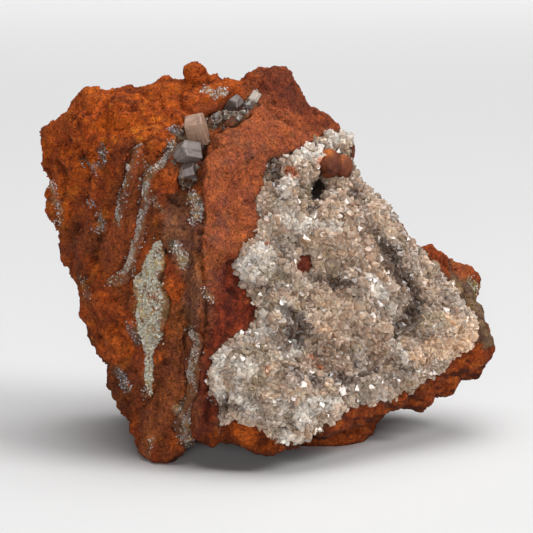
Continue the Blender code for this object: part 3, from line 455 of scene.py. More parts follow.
def earthyMaterial(name, roughness, grainMm, contrast, bump, fleck):
    # dull earthy iron oxide: no gloss, and thin dark worm tracks between rounded grains
    material, tree, shader = newMaterial(name)
    shader.inputs["Roughness"].default_value = roughness
    shader.inputs["Specular IOR Level"].default_value = 0.2
    place = addNode(tree, "ShaderNodeTexCoord").outputs["Object"]
    stain = addNode(tree, "ShaderNodeAttribute", {"attribute_name": "stain"}).outputs["Color"]
    swirl = addNode(tree, "ShaderNodeTexNoise", {"Scale": 1 / (1.6 * mm), "Detail": 2.0}, {"Vector": place})
    bent = addNode(tree, "ShaderNodeVectorMath", {"operation": "MULTIPLY_ADD", 1: (1.8 * mm, 1.8 * mm, 1.8 * mm)},
                   {0: swirl.outputs["Color"], 2: place}).outputs["Vector"]
    # worm tracks: the lines where a noise crosses its middle value
    worms = addNode(tree, "ShaderNodeTexNoise", {"Scale": 1 / (grainMm * mm), "Detail": 3.0, "Roughness": 0.65},
                    {"Vector": bent})
    offset = addNode(tree, "ShaderNodeMath", {"operation": "SUBTRACT", 1: 0.5}, {0: worms.outputs["Fac"]})
    gap = addNode(tree, "ShaderNodeMath", {"operation": "ABSOLUTE"}, {0: offset.outputs["Value"]})
    tracks = addNode(tree, "ShaderNodeMapRange",
                     {"From Min": 0.0, "From Max": 0.09, "To Min": 1 - 1.1 * contrast, "To Max": 1 + 0.2 * contrast},
                     {"Value": gap.outputs["Value"]})
    # broad blotches between a yellower and a more purple brown
    blotch = addNode(tree, "ShaderNodeTexNoise", {"Scale": 1 / (2.4 * mm), "Detail": 5.0, "Roughness": 0.65},
                     {"Vector": bent})
    hue = addNode(tree, "ShaderNodeMapRange", {"From Min": 0.36, "From Max": 0.64}, {"Value": blotch.outputs["Fac"]})
    tint = addNode(tree, "ShaderNodeMix", {"data_type": "RGBA", 6: (0.8, 0.68, 0.76, 1), 7: (1.24, 1.14, 0.72, 1)},
                   {0: hue.outputs["Result"]})
    tinted = addNode(tree, "ShaderNodeVectorMath", {"operation": "MULTIPLY"}, {0: stain, 1: tint.outputs[2]})
    # powdery flecks a third of a millimetre across
    flecks = addNode(tree, "ShaderNodeTexNoise", {"Scale": 1 / (0.33 * mm), "Detail": 3.0}, {"Vector": bent})
    where = addNode(tree, "ShaderNodeMapRange", {"From Min": 0.53, "From Max": 0.68, "To Min": 0.0, "To Max": fleck},
                    {"Value": flecks.outputs["Fac"]})
    warm = addNode(tree, "ShaderNodeVectorMath", {"operation": "MULTIPLY", 1: (1.75, 1.5, 1.1)},
                   {0: tinted.outputs["Vector"]})
    flecked = addNode(tree, "ShaderNodeMix", {"data_type": "RGBA"},
                      {0: where.outputs["Result"], 6: tinted.outputs["Vector"], 7: warm.outputs["Vector"]})
    tracked = addNode(tree, "ShaderNodeVectorMath", {"operation": "SCALE"},
                      {0: flecked.outputs[2], "Scale": tracks.outputs["Result"]})
    # pores of a sponge, a quarter of a millimetre across
    fineGrain = addNode(tree, "ShaderNodeTexNoise", {"Scale": 1 / (0.42 * mm), "Detail": 4.0, "Roughness": 0.75},
                        {"Vector": bent})
    pores = addNode(tree, "ShaderNodeMapRange",
                    {"From Min": 0.33, "From Max": 0.5, "To Min": 1 - 2.2 * contrast, "To Max": 1.0 + 0.1 * contrast},
                    {"Value": fineGrain.outputs["Fac"]})
    porous = addNode(tree, "ShaderNodeVectorMath", {"operation": "SCALE"},
                     {0: tracked.outputs["Vector"], "Scale": pores.outputs["Result"]})
    tree.links.new(porous.outputs["Vector"], shader.inputs["Base Color"])
    both = addNode(tree, "ShaderNodeMath", {"operation": "MULTIPLY_ADD", 1: 1.2},
                   {0: gap.outputs["Value"], 2: fineGrain.outputs["Fac"]})
    relief = addNode(tree, "ShaderNodeBump", {"Strength": bump, "Distance": 0.4 * mm},
                     {"Height": both.outputs["Value"]})
    tree.links.new(relief.outputs["Normal"], shader.inputs["Normal"])
    return material


def makeRock():
    piece = fineCopy("matrix", "rock", rock["voxel"], rock["rounding"])
    points, normals = meshArrays(piece.data)
    places = seenAt(points)
    facing = facingViewer(points, normals)
    height, fine = rockRelief(points, places, facing)
    moved = points + normals * height[:, None]
    moved[:, 2] = np.maximum(moved[:, 2], 0)
    setPoints(piece.data, moved)
    setStain(piece.data, rockStain(points, normals, fine, places, facing))
    thinned(piece, rock["triangles"])
    limonite = earthyMaterial("earthyLimonite", 0.93, 0.9, 0.4, 0.9, 0.6)
    return finished(piece, limonite, True, "matrix")


# Adamite: vitreous zinc arsenate crystals, wedge-ended, clear to milky, IOR about 1.72
adamite = {
    "voxel": 0.3,
    "swell": 0.2,
    "fine": 5000,
    "medium": 5600,
    "large": 2400,
    "ballSpacing": 1.25,
    "ior": 1.72,
    "warmth": (1.06, 1.0, 0.92),
    "ground": "#bda493",
    "white": "#f0e6de",
    "grey": "#b5a59b",
    "cream": "#e0c4ae",
    "tan": "#c8a68c",
    "olive": "#a4927a",
    "smoky": "#5c4a41",
    "brown": "#8d6f5b",
    "salmon": "#ecc4a6",
    "powder": "#c8621c",
}
frontOut = np.array([0.47, -0.77, 0.42])
# patches of the crust, as colour, strength, then (path, half width in pixels)
crustPatches = [
    ("tan", 0.5, [([(320, 222), (345, 240), (365, 262)], 26), ([(330, 300), (352, 330)], 18)]),
    ("grey", 0.5, [([(345, 396), (375, 388), (395, 376), (412, 364)], 10), ([(365, 285), (385, 300)], 14)]),
    ("white", 0.85, [([(298, 158), (310, 150), (318, 156)], 6), ([(290, 176), (284, 190)], 6),
                     ([(288, 212), (298, 226), (308, 222)], 9), ([(255, 256), (262, 250), (250, 264), (266, 266)], 10),
                     ([(318, 224), (338, 228)], 5), ([(265, 314), (266, 330), (258, 337)], 4),
                     ([(277, 309), (288, 310)], 5), ([(222, 352), (217, 372), (219, 392), (227, 402)], 5),
                     ([(237, 364), (248, 372), (240, 378)], 7), ([(286, 356), (298, 349)], 5),
                     ([(278, 400), (290, 412), (306, 408), (318, 398)], 5), ([(300, 422), (316, 409), (334, 399)], 5),
                     ([(370, 282), (384, 298)], 6), ([(388, 290), (396, 330)], 2.5), ([(399, 345), (405, 358)], 4),
                     ([(240, 268), (246, 280), (252, 276)], 7), ([(330, 140), (345, 134)], 6),
                     ([(282, 432), (292, 440)], 5), ([(236, 396), (252, 410)], 5)]),
    ("cream", 0.8, [([(316, 317), (330, 312), (362, 313)], 5), ([(436, 311), (450, 332)], 7),
                    ([(262, 372), (278, 368)], 6), ([(250, 385), (262, 392)], 6), ([(300, 205), (310, 209)], 4),
                    ([(365, 196), (378, 216), (394, 238)], 5), ([(318, 175), (300, 166)], 5)]),
    ("salmon", 0.9, [([(420, 354), (436, 343), (452, 351), (474, 339), (468, 328), (452, 320)], 9),
                     ([(318, 326), (332, 332)], 5)]),
    ("brown", 0.6, [([(331, 359), (333, 362)], 18), ([(380, 351), (381, 352)], 13), ([(440, 292), (446, 306)], 4)]),
    ("olive", 0.75, [([(300, 188), (304, 196)], 7), ([(244, 350), (262, 352)], 7), ([(268, 276), (282, 280)], 6),
                     ([(420, 322), (438, 318)], 7), ([(262, 372), (250, 396)], 4), ([(395, 338), (402, 334)], 5)]),
    ("smoky", 0.92, [([(381, 243), (392, 262), (408, 285), (416, 300), (411, 318), (399, 324)], 9),
                     ([(292, 318), (300, 328), (290, 332)], 10), ([(264, 290), (266, 291)], 7),
                     ([(320, 281), (340, 283), (352, 280)], 4),
                     ([(283, 366), (295, 373), (310, 381), (330, 382), (355, 379), (374, 371)], 4),
                     ([(225, 404), (240, 408)], 5), ([(286, 342), (300, 345)], 4), ([(395, 338), (412, 328)], 3),
                     ([(272, 162), (276, 182)], 6), ([(352, 190), (358, 196)], 3), ([(308, 210), (316, 208)], 2)]),
    ("powder", 0.9, [([(310, 355), (311, 356)], 3), ([(318, 365), (320, 370)], 2.5), ([(267, 368), (268, 370)], 2),
                     ([(288, 170), (294, 173)], 5), ([(320, 160), (322, 164)], 3), ([(266, 243), (267, 244)], 2.5)]),
]
# outline of a deep pocket in the crust, in pixels; the crust inside it is painted nearly black as painted shade
deepPocket = [(316, 172), (322, 178), (328, 190), (320, 201), (311, 202), (309, 192), (313, 182)]
rustPatch = {"place": (303, 264.5), "radius": 10.5}
noduleRooms = [((328, 163), 10, 14.5), ((342, 168), 5, 10)]
# balls of radiating crystals that stand out of the crust: pixel, radius and crystal half width in millimetres
crystalBalls = [((331, 359), 3.0, 0.24), ((380, 351), 2.2, 0.26), ((289, 389), 2.5, 0.62), ((246, 369), 1.7, 0.3),
                ((228, 382), 1.6, 0.2), ((262, 348), 1.6, 0.22), ((298, 224), 2.0, 0.26), ((258, 260), 2.0, 0.16),
                ((340, 240), 2.6, 0.4), ((362, 265), 2.2, 0.36), ((372, 288), 2.2, 0.24), ((346, 308), 2.2, 0.36),
                ((270, 371), 1.8, 0.34), ((322, 302), 1.8, 0.3), ((440, 320), 2.2, 0.34), ((455, 346), 2.4, 0.3),
                ((430, 352), 2.0, 0.3), ((345, 190), 1.6, 0.24), ((364, 212), 1.7, 0.3), ((318, 232), 1.9, 0.3),
                ((383, 230), 1.6, 0.24), ((402, 350), 1.7, 0.42), ((250, 395), 1.9, 0.24), ((296, 412), 1.7, 0.22),
                ((330, 402), 1.5, 0.2), ((278, 310), 1.1, 0.36), ((292, 352), 1.4, 0.32), ((428, 285), 1.6, 0.24),
                ((324, 335), 1.7, 0.26), ((360, 335), 1.8, 0.26)]


def hitAt(tree, pixel):
    # the place in millimetres where the picture's pixel meets a surface, and the normal there
    half = view["pixels"] / 2
    across = (pixel[0] - half) / view["focalPixels"]
    rise = (half - pixel[1]) / view["focalPixels"]
    way = viewForward + np.array([across, 0, 0]) + rise * viewUp
    place, normal, _, _ = tree.ray_cast(Vector(viewEye), Vector(way).normalized())
    return np.array(place), np.array(normal)


def crustColours(points, dice):
    places = seenAt(points)
    wander = 4 * rough(points, 1.8, 61)
    colours = blend(adamite["ground"], adamite["grey"], soft(rough(points, 2.6, 62), -0.1, 0.6))
    colours = mixed(colours, palette(adamite["cream"]), soft(rough(points, 2.2, 63), 0.1, 0.7) * 0.7)
    colours = mixed(colours, palette(adamite["olive"]), soft(rough(points, 1.8, 64), 0.2, 0.8) * 0.7)
    for colour, strength, patches in crustPatches:
        for path, width in patches:
            shake = 0.3 * wander if colour == "powder" else wander
            near = soft(width - toPath(places, path) + shake, -2.5, 3)
            colours = mixed(colours, palette(adamite[colour]), near * strength)
    # painted shade: the deep pocket is coloured nearly black, and gets none of the whiter crystals
    pocket = soft(within(places, deepPocket), -3, 2)
    colours = mixed(colours, np.array([0.006, 0.003, 0.002]), pocket * 0.97)
    # a few crystals in each patch are much whiter than the rest
    colours = mixed(colours, palette(adamite["white"]), (dice.random(len(points)) > 0.9) * 0.22 * (1 - pocket))
    return colours * adamite["warmth"] * (0.92 + 0.16 * dice.random(len(points)))[:, None]


def crustRoom(places):
    # 1 where crystals may grow, 0 over the pocket, the rust patch and the nodules
    room = 1 - soft(within(places, deepPocket), -2, 1)
    away = np.hypot(places[:, 0] - rustPatch["place"][0], places[:, 1] - rustPatch["place"][1])
    room *= soft(away, rustPatch["radius"] - 1, rustPatch["radius"] + 1)
    for (x, y), wide, tall in noduleRooms:
        room *= soft(np.hypot((places[:, 0] - x) / wide, (places[:, 1] - y) / tall), 0.85, 1.05)
    return room


def placeBalls(mesh, tree, dice):
    # the balls seen in the picture, then smaller ones wherever there is room left
    centres, radii, widths = [], [], []
    for pixel, radius, width in crystalBalls:
        place, normal = hitAt(tree, pixel)
        centres.append(place - 0.45 * radius * normal)
        radii.append(radius)
        widths.append(width)
    spots, normals = surfaceSpots(mesh, 4000, dice, lambda m, n: np.clip(n @ frontOut + 0.1, 0, 1))
    for place, normal in zip(spots, normals):
        gaps = np.linalg.norm(np.array(centres) - place, axis=1) - 0.45 * np.array(radii)
        if gaps.min() > adamite["ballSpacing"]:
            radius = dice.uniform(0.9, 1.7)
            centres.append(place - 0.45 * radius * normal)
            radii.append(radius)
            widths.append(dice.choice([0.13, 0.18, 0.24, 0.32]))
    print(len(centres), "balls of crystals")
    return np.array(centres), np.array(radii), np.array(widths)


def ballField(points, centres, radii):
    # the ball that each point belongs to, and how far out from its middle the point is
    owner = np.zeros(len(points), int)
    nearest = np.full(len(points), 9.0)
    for i, (centre, radius) in enumerate(zip(centres, radii)):
        gap = np.linalg.norm(points - centre, axis=1) / radius
        owner = np.where(gap < nearest, i, owner)
        nearest = np.minimum(nearest, gap)
    return owner, nearest


crystalFaces = [(0, 1, 5, 4), (1, 2, 6, 5), (2, 3, 7, 6), (3, 0, 4, 7), (4, 5, 9, 8), (6, 7, 8, 9), (5, 6, 9),
                (7, 4, 8), (3, 2, 1, 0)]


def crystalMesh(name, spots, axes, wide, thick, long, colours, dice):
    # wedge-ended prisms: four corners at the root, four at the shoulder, two on the ridge
    shape = np.array([(-1, -1, 0), (1, -1, 0), (1, 1, 0), (-1, 1, 0), (-1, -1, 0.6), (1, -1, 0.6),
                      (1, 1, 0.6), (-1, 1, 0.6), (-0.5, 0, 1), (0.5, 0, 1)], float)
    # painted shade: each crystal's colour is darker at its root and lighter towards its tip
    rootShadeToTip = np.array([0.7] * 4 + [0.96] * 4 + [1.06] * 2)
    count = len(spots)
    axes = axes / np.linalg.norm(axes, axis=1)[:, None]
    side = np.cross(axes, dice.normal(size=(count, 3)))
    side /= np.linalg.norm(side, axis=1)[:, None]
    other = np.cross(axes, side)
    local = np.repeat(shape[None], count, axis=0)
    local[:, 4:8, 2] += dice.uniform(-0.2, 0.15, (count, 1))
    local[:, 8:, 0] *= dice.uniform(0.2, 1.6, (count, 1))
    local[:, 8:, 1] += dice.uniform(-0.6, 0.6, (count, 1))
    local[:, 4:, :] += dice.uniform(-0.1, 0.1, (count, 6, 3))
    local[:, :4, :2] *= dice.uniform(0.45, 0.8, (count, 1, 1))
    points = (spots[:, None] + local[:, :, 0:1] * (wide[:, None] * side)[:, None]
              + local[:, :, 1:2] * (thick[:, None] * other)[:, None]
              + (local[:, :, 2:3] - 0.4) * (long[:, None] * axes)[:, None])
    return meshOf(name, points, crystalFaces, colours[:, None] * rootShadeToTip[None, :, None])


def crystalMaterial(name, transmission, roughness, glow, ior):
    # glassy crystal: light goes in at the faces and comes out tinted, with sharp glints off the flat ends
    material, tree, shader = newMaterial(name)
    shader.inputs["Roughness"].default_value = roughness
    shader.inputs["IOR"].default_value = ior
    shader.inputs["Transmission Weight"].default_value = transmission
    shader.inputs["Subsurface Weight"].default_value = glow
    shader.inputs["Subsurface Radius"].default_value = (1.0, 0.8, 0.65)
    shader.inputs["Subsurface Scale"].default_value = 1.2 * mm
    stain = addNode(tree, "ShaderNodeAttribute", {"attribute_name": "stain"}).outputs["Color"]
    place = addNode(tree, "ShaderNodeTexCoord").outputs["Object"]
    cloud = addNode(tree, "ShaderNodeTexNoise", {"Scale": 1 / (0.6 * mm), "Detail": 3.0}, {"Vector": place})
    shade = addNode(tree, "ShaderNodeMapRange", {"From Min": 0.3, "From Max": 0.7, "To Min": 0.8, "To Max": 1.15},
                    {"Value": cloud.outputs["Fac"]})
    tone = addNode(tree, "ShaderNodeVectorMath", {"operation": "SCALE"}, {0: stain, "Scale": shade.outputs["Result"]})
    tree.links.new(tone.outputs["Vector"], shader.inputs["Base Color"])
    relief = addNode(tree, "ShaderNodeBump", {"Strength": 0.3, "Distance": 0.08 * mm},
                     {"Height": cloud.outputs["Fac"]})
    tree.links.new(relief.outputs["Normal"], shader.inputs["Normal"])
    return material


def makeFrontCrust(clear, milky):
    dice = np.random.default_rng(3)
    base = fineCopy("front_crust", "adamiteCrust", adamite["voxel"], 6)
    tree = BVHTree.FromObject(base, bpy.context.evaluated_depsgraph_get())
    centres, radii, widths = placeBalls(base.data, tree, dice)
    points, normals = meshArrays(base.data)
    owner, gap = ballField(points, centres, radii)
    dome = np.clip(0.55 * (1.1 - gap ** 2), -0.35, 0.5) * radii[owner]
    swell = np.clip(dome, -0.5, 0.9) + 0.12 * rough(points, 0.9, 72)
    height = adamite["swell"] + soft(normals @ frontOut, -0.1, 0.4) * swell
    points = points + normals * (height * crustRoom(seenAt(points)))[:, None]
    setPoints(base.data, points)
    # painted shade: the crust is darker away from the middles of the balls, in the valleys between them
    setStain(base.data, crustColours(points, dice) * (0.7 + 0.35 * soft(-gap, -1.3, -0.5))[:, None])

    def outFaces(middles, faceNormals):
        return np.clip(faceNormals @ frontOut + 0.3, 0, 1) * crustRoom(seenAt(middles))

    # each size of crystal: name, how many, least and most half width, how far its ball rules its size
    plans = (("fineCrystals", adamite["fine"], 0.12, 0.26, 0.0, milky),
             ("mediumCrystals", adamite["medium"], 0.28, 0.6, 0.5, milky),
             ("clearCrystals", adamite["large"], 0.5, 1.1, 0.5, clear))
    for name, count, least, most, byBall, material in plans:
        spots, spotNormals = surfaceSpots(base.data, count, dice, outFaces)
        owner, gap = ballField(spots, centres, radii)
        radial = spots - centres[owner]
        radial /= np.linalg.norm(radial, axis=1)[:, None]
        axes = 0.9 * radial + 0.3 * spotNormals + 0.25 * dice.normal(size=spots.shape)
        ruled = np.clip(widths[owner] * dice.uniform(0.6, 1.3, count), 0.6 * least, 1.25 * most)
        wide = dice.uniform(least, most, count) * (1 - byBall) + byBall * ruled
        thick = wide * dice.uniform(0.4, 0.9, count)
        long = wide * dice.uniform(1.8, 3.0, count)
        # painted shade: crystals are darker the farther they stand from their ball's middle, in the valleys between
        # balls
        colours = crustColours(spots, dice) * (0.74 + 0.38 * soft(-gap, -1.4, -0.6))[:, None]
        mesh = crystalMesh(name, spots, axes, wide, thick, long, colours, dice)
        finished(addPiece(name, mesh), material, False)
    finished(base, milky, False, "front_crust")


# Drusy seams in the left face, the pale green crust beside them, and the smoky druse of the fissure
seams = [
    {"node": "pale_crust", "name": "paleCrust", "slot": "pale_adamite", "ground": ("#9a8468", 0.75),
     "sink": 0.05, "width": 11, "patchy": 0.3,
     "path": [(160, 246), (152, 262), (146, 285), (151, 310), (148, 335), (148, 352), (147, 372), (147, 400)],
     "colours": ("#d4cab2", "#c0b59c", "#e2dccb", "#b3a88f"), "crystals": 1000, "size": 0.17},
    {"node": "upper_vein", "name": "upperVein", "slot": "drusy_seam", "ground": ("#7c4432", 0.3),
     "sink": 0.55, "width": 1.6, "patchy": 1.0,
     "path": [(140, 143), (131, 147), (129, 160), (125, 174), (121, 186), (116, 199), (115, 211), (118, 221)],
     "colours": ("#a39488", "#c9bdb2", "#8a786b"), "crystals": 210, "size": 0.11},
    {"node": "middle_vein", "name": "middleVein", "slot": "drusy_seam", "ground": ("#7f4a36", 0.3),
     "sink": 0.55, "width": 2.2, "patchy": 0.9,
     "path": [(166, 156), (161, 165), (150, 172), (146, 180), (144, 194), (147, 201), (141, 215), (138, 230),
              (132, 250), (128, 265), (120, 274), (108, 281)],
     "colours": ("#a89a8e", "#cbbfb4", "#927f70"), "crystals": 440, "size": 0.12},
    {"node": "lower_vein", "name": "lowerVein", "slot": "drusy_seam", "ground": ("#744a38", 0.4),
     "sink": 0.5, "width": 2.6, "patchy": 0.9,
     "path": [(190, 330), (197, 342), (194, 356), (190, 374), (197, 400), (189, 414), (182, 432), (184, 444)],
     "colours": ("#9c8b7e", "#bcaea2", "#7c685b"), "crystals": 360, "size": 0.12},
    {"node": "fissure_crystals", "name": "fissureDruse", "slot": "smoky_crystals", "ground": ("#4a352b", 0.95),
     "sink": 0.0, "width": 6, "patchy": 0.3,
     "path": [(254, 95), (232, 108), (214, 120), (200, 136), (188, 160), (186, 190)],
     "colours": ("#5e4535", "#7d6656", "#463024", "#94806f"), "crystals": 300, "size": 0.17, "blades": 26},
]
seamOut = np.array([-0.35, -0.9, 0.25])
bladeColours = ("#4d3d33", "#5b4e46", "#3a2d26", "#67605b", "#7d766e")


def drusyShare(points, plan):
    # 1 along the seam's line of crystals, 0 on the smooth rock beside it and in the line's gaps
    wander = 0.45 * plan["width"] * rough(points, 1.3, 85) + 1.0
    gaps = plan["patchy"] * (1 - soft(rough(points, 2.2, 89), -0.5, 0.15))
    return soft(plan["width"] - toPath(seenAt(points), plan["path"]) + wander, -0.8, 1.4) * (1 - gaps)


def makeSeam(plan, milky, earthy):
    dice = np.random.default_rng(len(plan["name"]))
    base = fineCopy(plan["node"], plan["name"], 0.25, 4)
    points, normals = meshArrays(base.data)
    drusy = drusyShare(points, plan)
    sunk = plan["sink"] * (1 - 0.5 * drusy)
    proud = 0.14 + 0.12 * drusy * rough(points, 1.0, 82) + 0.12 * rough(points, 2.0, 86)
    proud = mixed(np.array([-0.15]), proud[:, None], blockRoom(points))[:, 0]  # sunk under the blocks
    points = points + normals * proud[:, None] - sunk[:, None] * seamOut / np.linalg.norm(seamOut)
    setPoints(base.data, points)
    choices = palette(*plan["colours"])
    tint = rough(points, 0.9, 83)
    colours = mixed(choices[0], choices[1], soft(tint, -0.2, 0.5))
    colours = mixed(colours, choices[2], soft(-tint, 0.1, 0.6))
    places = seenAt(points)
    rockColours = rockStain(points, normals, np.full(len(points), 0.1), places, facingViewer(points, normals))
    ground, share = plan["ground"]
    rockColours = mixed(rockColours, palette(ground), share * soft(rough(points, 1.6, 87), -0.9, 0.2))
    colours = mixed(rockColours, colours, 0.8 * drusy * soft(rough(points, 0.7, 88), -0.5, 0.3))
    setStain(base.data, colours * (1 + 0.15 * rough(points, 0.5, 84))[:, None])

    def alongSeam(middles, faceNormals):
        return np.clip(faceNormals @ seamOut, 0, 1) * (0.02 + drusyShare(middles, plan)) * blockRoom(middles)

    spots, spotNormals = surfaceSpots(base.data, plan["crystals"], dice, alongSeam)
    wide = plan["size"] * dice.uniform(0.5, 1.3, len(spots))
    axes = spotNormals + 0.5 * dice.normal(size=spots.shape)
    colours = choices[dice.integers(0, len(choices), len(spots))] * dice.uniform(0.8, 1.2, (len(spots), 1))
    mesh = crystalMesh(plan["name"] + "Crystals", spots, axes, wide, 0.7 * wide, 2.4 * wide, colours, dice)
    finished(addPiece(plan["name"] + "Crystals", mesh), milky, False)
    if "blades" in plan:
        makeBlades(plan, base.data, milky, dice)
    finished(base, earthy, True, plan["node"])


def makeBlades(plan, ground, glassy, dice):
    # smoky crystals side by side along the fissure, leaning the way that its walls do
    def onTop(middles, faceNormals):
        return np.clip(faceNormals @ seamOut, 0, 1) ** 2 * blockRoom(middles)

    spots, spotNormals = surfaceSpots(ground, plan["blades"], dice, onTop)
    wide = dice.uniform(0.3, 0.6, len(spots))
    axes = 0.5 * spotNormals + np.array([-0.3, -0.35, 0.75]) + 0.2 * dice.normal(size=spots.shape)
    colours = palette(*bladeColours)[dice.integers(0, len(bladeColours), len(spots))]
    name = plan["name"] + "Blades"
    mesh = crystalMesh(name, spots, axes, wide, 0.6 * wide, 2.3 * wide, colours, dice)
    finished(addPiece(name, mesh), glassy, False)


# Blocky crystals in the fissure: place and axis in millimetres, spin, half sizes, colours of body and striae
blocks = [
    {"name": "tanBlock", "at": (-10.64, -6.68, 50.13), "axis": (-0.214, -0.471, 0.856), "spin": 0.3,
     "half": (1.48, 1.38, 2.4), "colours": ("#a07f69", "#7a5d4e")},
    {"name": "greyBlock", "at": (-12.01, -9.17, 46.7), "axis": (-0.771, -0.6, 0.214), "spin": 0.5,
     "half": (1.5, 1.4, 1.85), "colours": ("#6f625c", "#483d38")},
    {"name": "darkBlock", "at": (-11.9, -9.19, 43.75), "axis": (-0.191, -0.858, 0.477), "spin": 0.2,
     "half": (1.35, 1.05, 1.35), "colours": ("#665550", "#43342f")},
    {"name": "ridgeBlock", "at": (-4.92, -0.83, 52.97), "axis": (0.426, -0.596, 0.681), "spin": 0.4,
     "half": (1.05, 0.95, 1.5), "colours": ("#5d4d47", "#3c2e29")},
    {"name": "paleBlock", "at": (-1.94, 0.51, 53.8), "axis": (0.303, -0.808, 0.505), "spin": 0.9,
     "half": (0.95, 0.75, 1.1), "colours": ("#a3968a", "#75675c")},
]


def blockRoom(points):
    # 0 at the blocky crystals, 1 clear of them
    gaps = [np.linalg.norm(points - np.array(plan["at"]), axis=1) / max(plan["half"]) for plan in blocks]
    return soft(np.min(gaps, axis=0), 0.9, 1.3)


def makeBlock(plan, glassy, dice):
    wide, thick, long = plan["half"]
    corners = [(x, y, z) for z in (-long, 0.62 * long)
               for x, y in ((-wide, -thick), (wide, -thick), (wide, thick), (-wide, thick))]
    corners += [(-0.75 * wide, -0.3 * thick, long), (0.75 * wide, 0.25 * thick, long)]
    corners = np.array(corners) + dice.uniform(-0.09, 0.09, (10, 3))
    mesh = bpy.data.meshes.new(plan["name"])
    mesh.from_pydata([tuple(c) for c in corners], [], crystalFaces)
    piece = addPiece(plan["name"], mesh)
    worn = piece.modifiers.new("worn", "BEVEL")
    worn.width = 0.1
    worn.segments = 2
    remesh = piece.modifiers.new("fine", "REMESH")
    remesh.mode = "VOXEL"
    remesh.voxel_size = 0.1
    settled(piece)
    points, normals = meshArrays(piece.data)
    striae = lumps(points * np.array([1, 1, 0.06]), 0.22, 91)
    pitted = rough(points, 0.5, 92)
    setPoints(piece.data, points + normals * (0.025 * striae + 0.012 * pitted)[:, None])
    body, groove = palette(*plan["colours"])
    setStain(piece.data, mixed(body, groove, soft(striae + 0.6 * pitted, 0.1, 1.1)))
    turn = Vector(plan["axis"]).normalized().to_track_quat("Z", "Y").to_matrix().to_4x4()
    piece.data.transform(Matrix.Translation(plan["at"]) @ turn @ Matrix.Rotation(plan["spin"], 4, "Z"))
    finished(piece, glassy, True)


# Nodules of brown iron oxide with a silky radial skin: middle and half sizes in millimetres
nodules = [((9.6, -0.2, 43.8), (1.9, 1.8, 2.3)), ((11.9, 1.4, 43.0), (1.4, 1.6, 2.1))]
tuft = {"middle": (5.5, -9.2, 29.7), "half": (1.65, 2.0)}  # the rust-red patch, a powdery square with eight lobes


def makeNodules():
    piece = fineCopy("oxide_nodules", "oxideNodules", 0.16, 6)
    points, normals = meshArrays(piece.data)
    middles = np.array([middle for middle, _ in nodules])
    halves = np.array([half for _, half in nodules])
    owner = np.linalg.norm((points[:, None] - middles) / halves, axis=2).argmin(axis=1)
    local = points - middles[owner]
    bumps = rough(points * np.array([1, 1, 0.6]), 0.9, 96)
    setPoints(piece.data, points + normals * (0.1 + 0.13 * bumps)[:, None])
    crown = soft(local[:, 2] - 0.5 * local[:, 0] + 0.5 * bumps, 0.5, 2.0)
    silk = lumps(np.stack([14 * np.arctan2(local[:, 0], -local[:, 1]), 0.35 * local[:, 2], points[:, 0]], axis=1), 1.0, 95)
    colours = blend("#6b3a28", "#a86028", crown * 0.85)
    colours = mixed(colours, palette("#3a1c14"), soft(rough(points, 0.9, 97) - 0.3 * local[:, 2], 0.0, 1.0) * 0.8)
    colours *= (1 + 0.25 * silk)[:, None]
    setStain(piece.data, colours)
    skin = earthyMaterial("silkyLimonite", 0.55, 0.5, 0.15, 0.3, 0.1)
    finished(piece, skin, True, "oxide_nodules")


def makeTuft():
    piece = fineCopy("oxide_tuft", "oxideTuft", 0.13, 6)
    points, normals = meshArrays(piece.data)
    across = np.cross([0, 0, 1], -frontOut)
    across /= np.linalg.norm(across)
    along = np.cross(across, -frontOut) / np.linalg.norm(frontOut)
    local = np.stack([(points - tuft["middle"]) @ across, (points - tuft["middle"]) @ along], axis=1) / tuft["half"]
    angle = np.arctan2(local[:, 1], local[:, 0])
    rimward = np.clip(np.hypot(local[:, 0], local[:, 1]), 0, 1)
    lobes = 0.2 + 0.2 * np.cos(8 * angle) + 0.16 * np.cos(4 * angle + math.pi)
    height = lobes * rimward ** 2 + 0.1 * rough(points, 0.5, 98)
    setPoints(piece.data, points + normals * height[:, None])
    setStain(piece.data, blend("#74382a", "#4f2118", soft(rough(points, 0.7, 99), -0.1, 0.6)))
    hematite = earthyMaterial("powderyHematite", 0.95, 0.4, 0.3, 0.8, 0.2)
    finished(piece, hematite, True, "oxide_tuft")


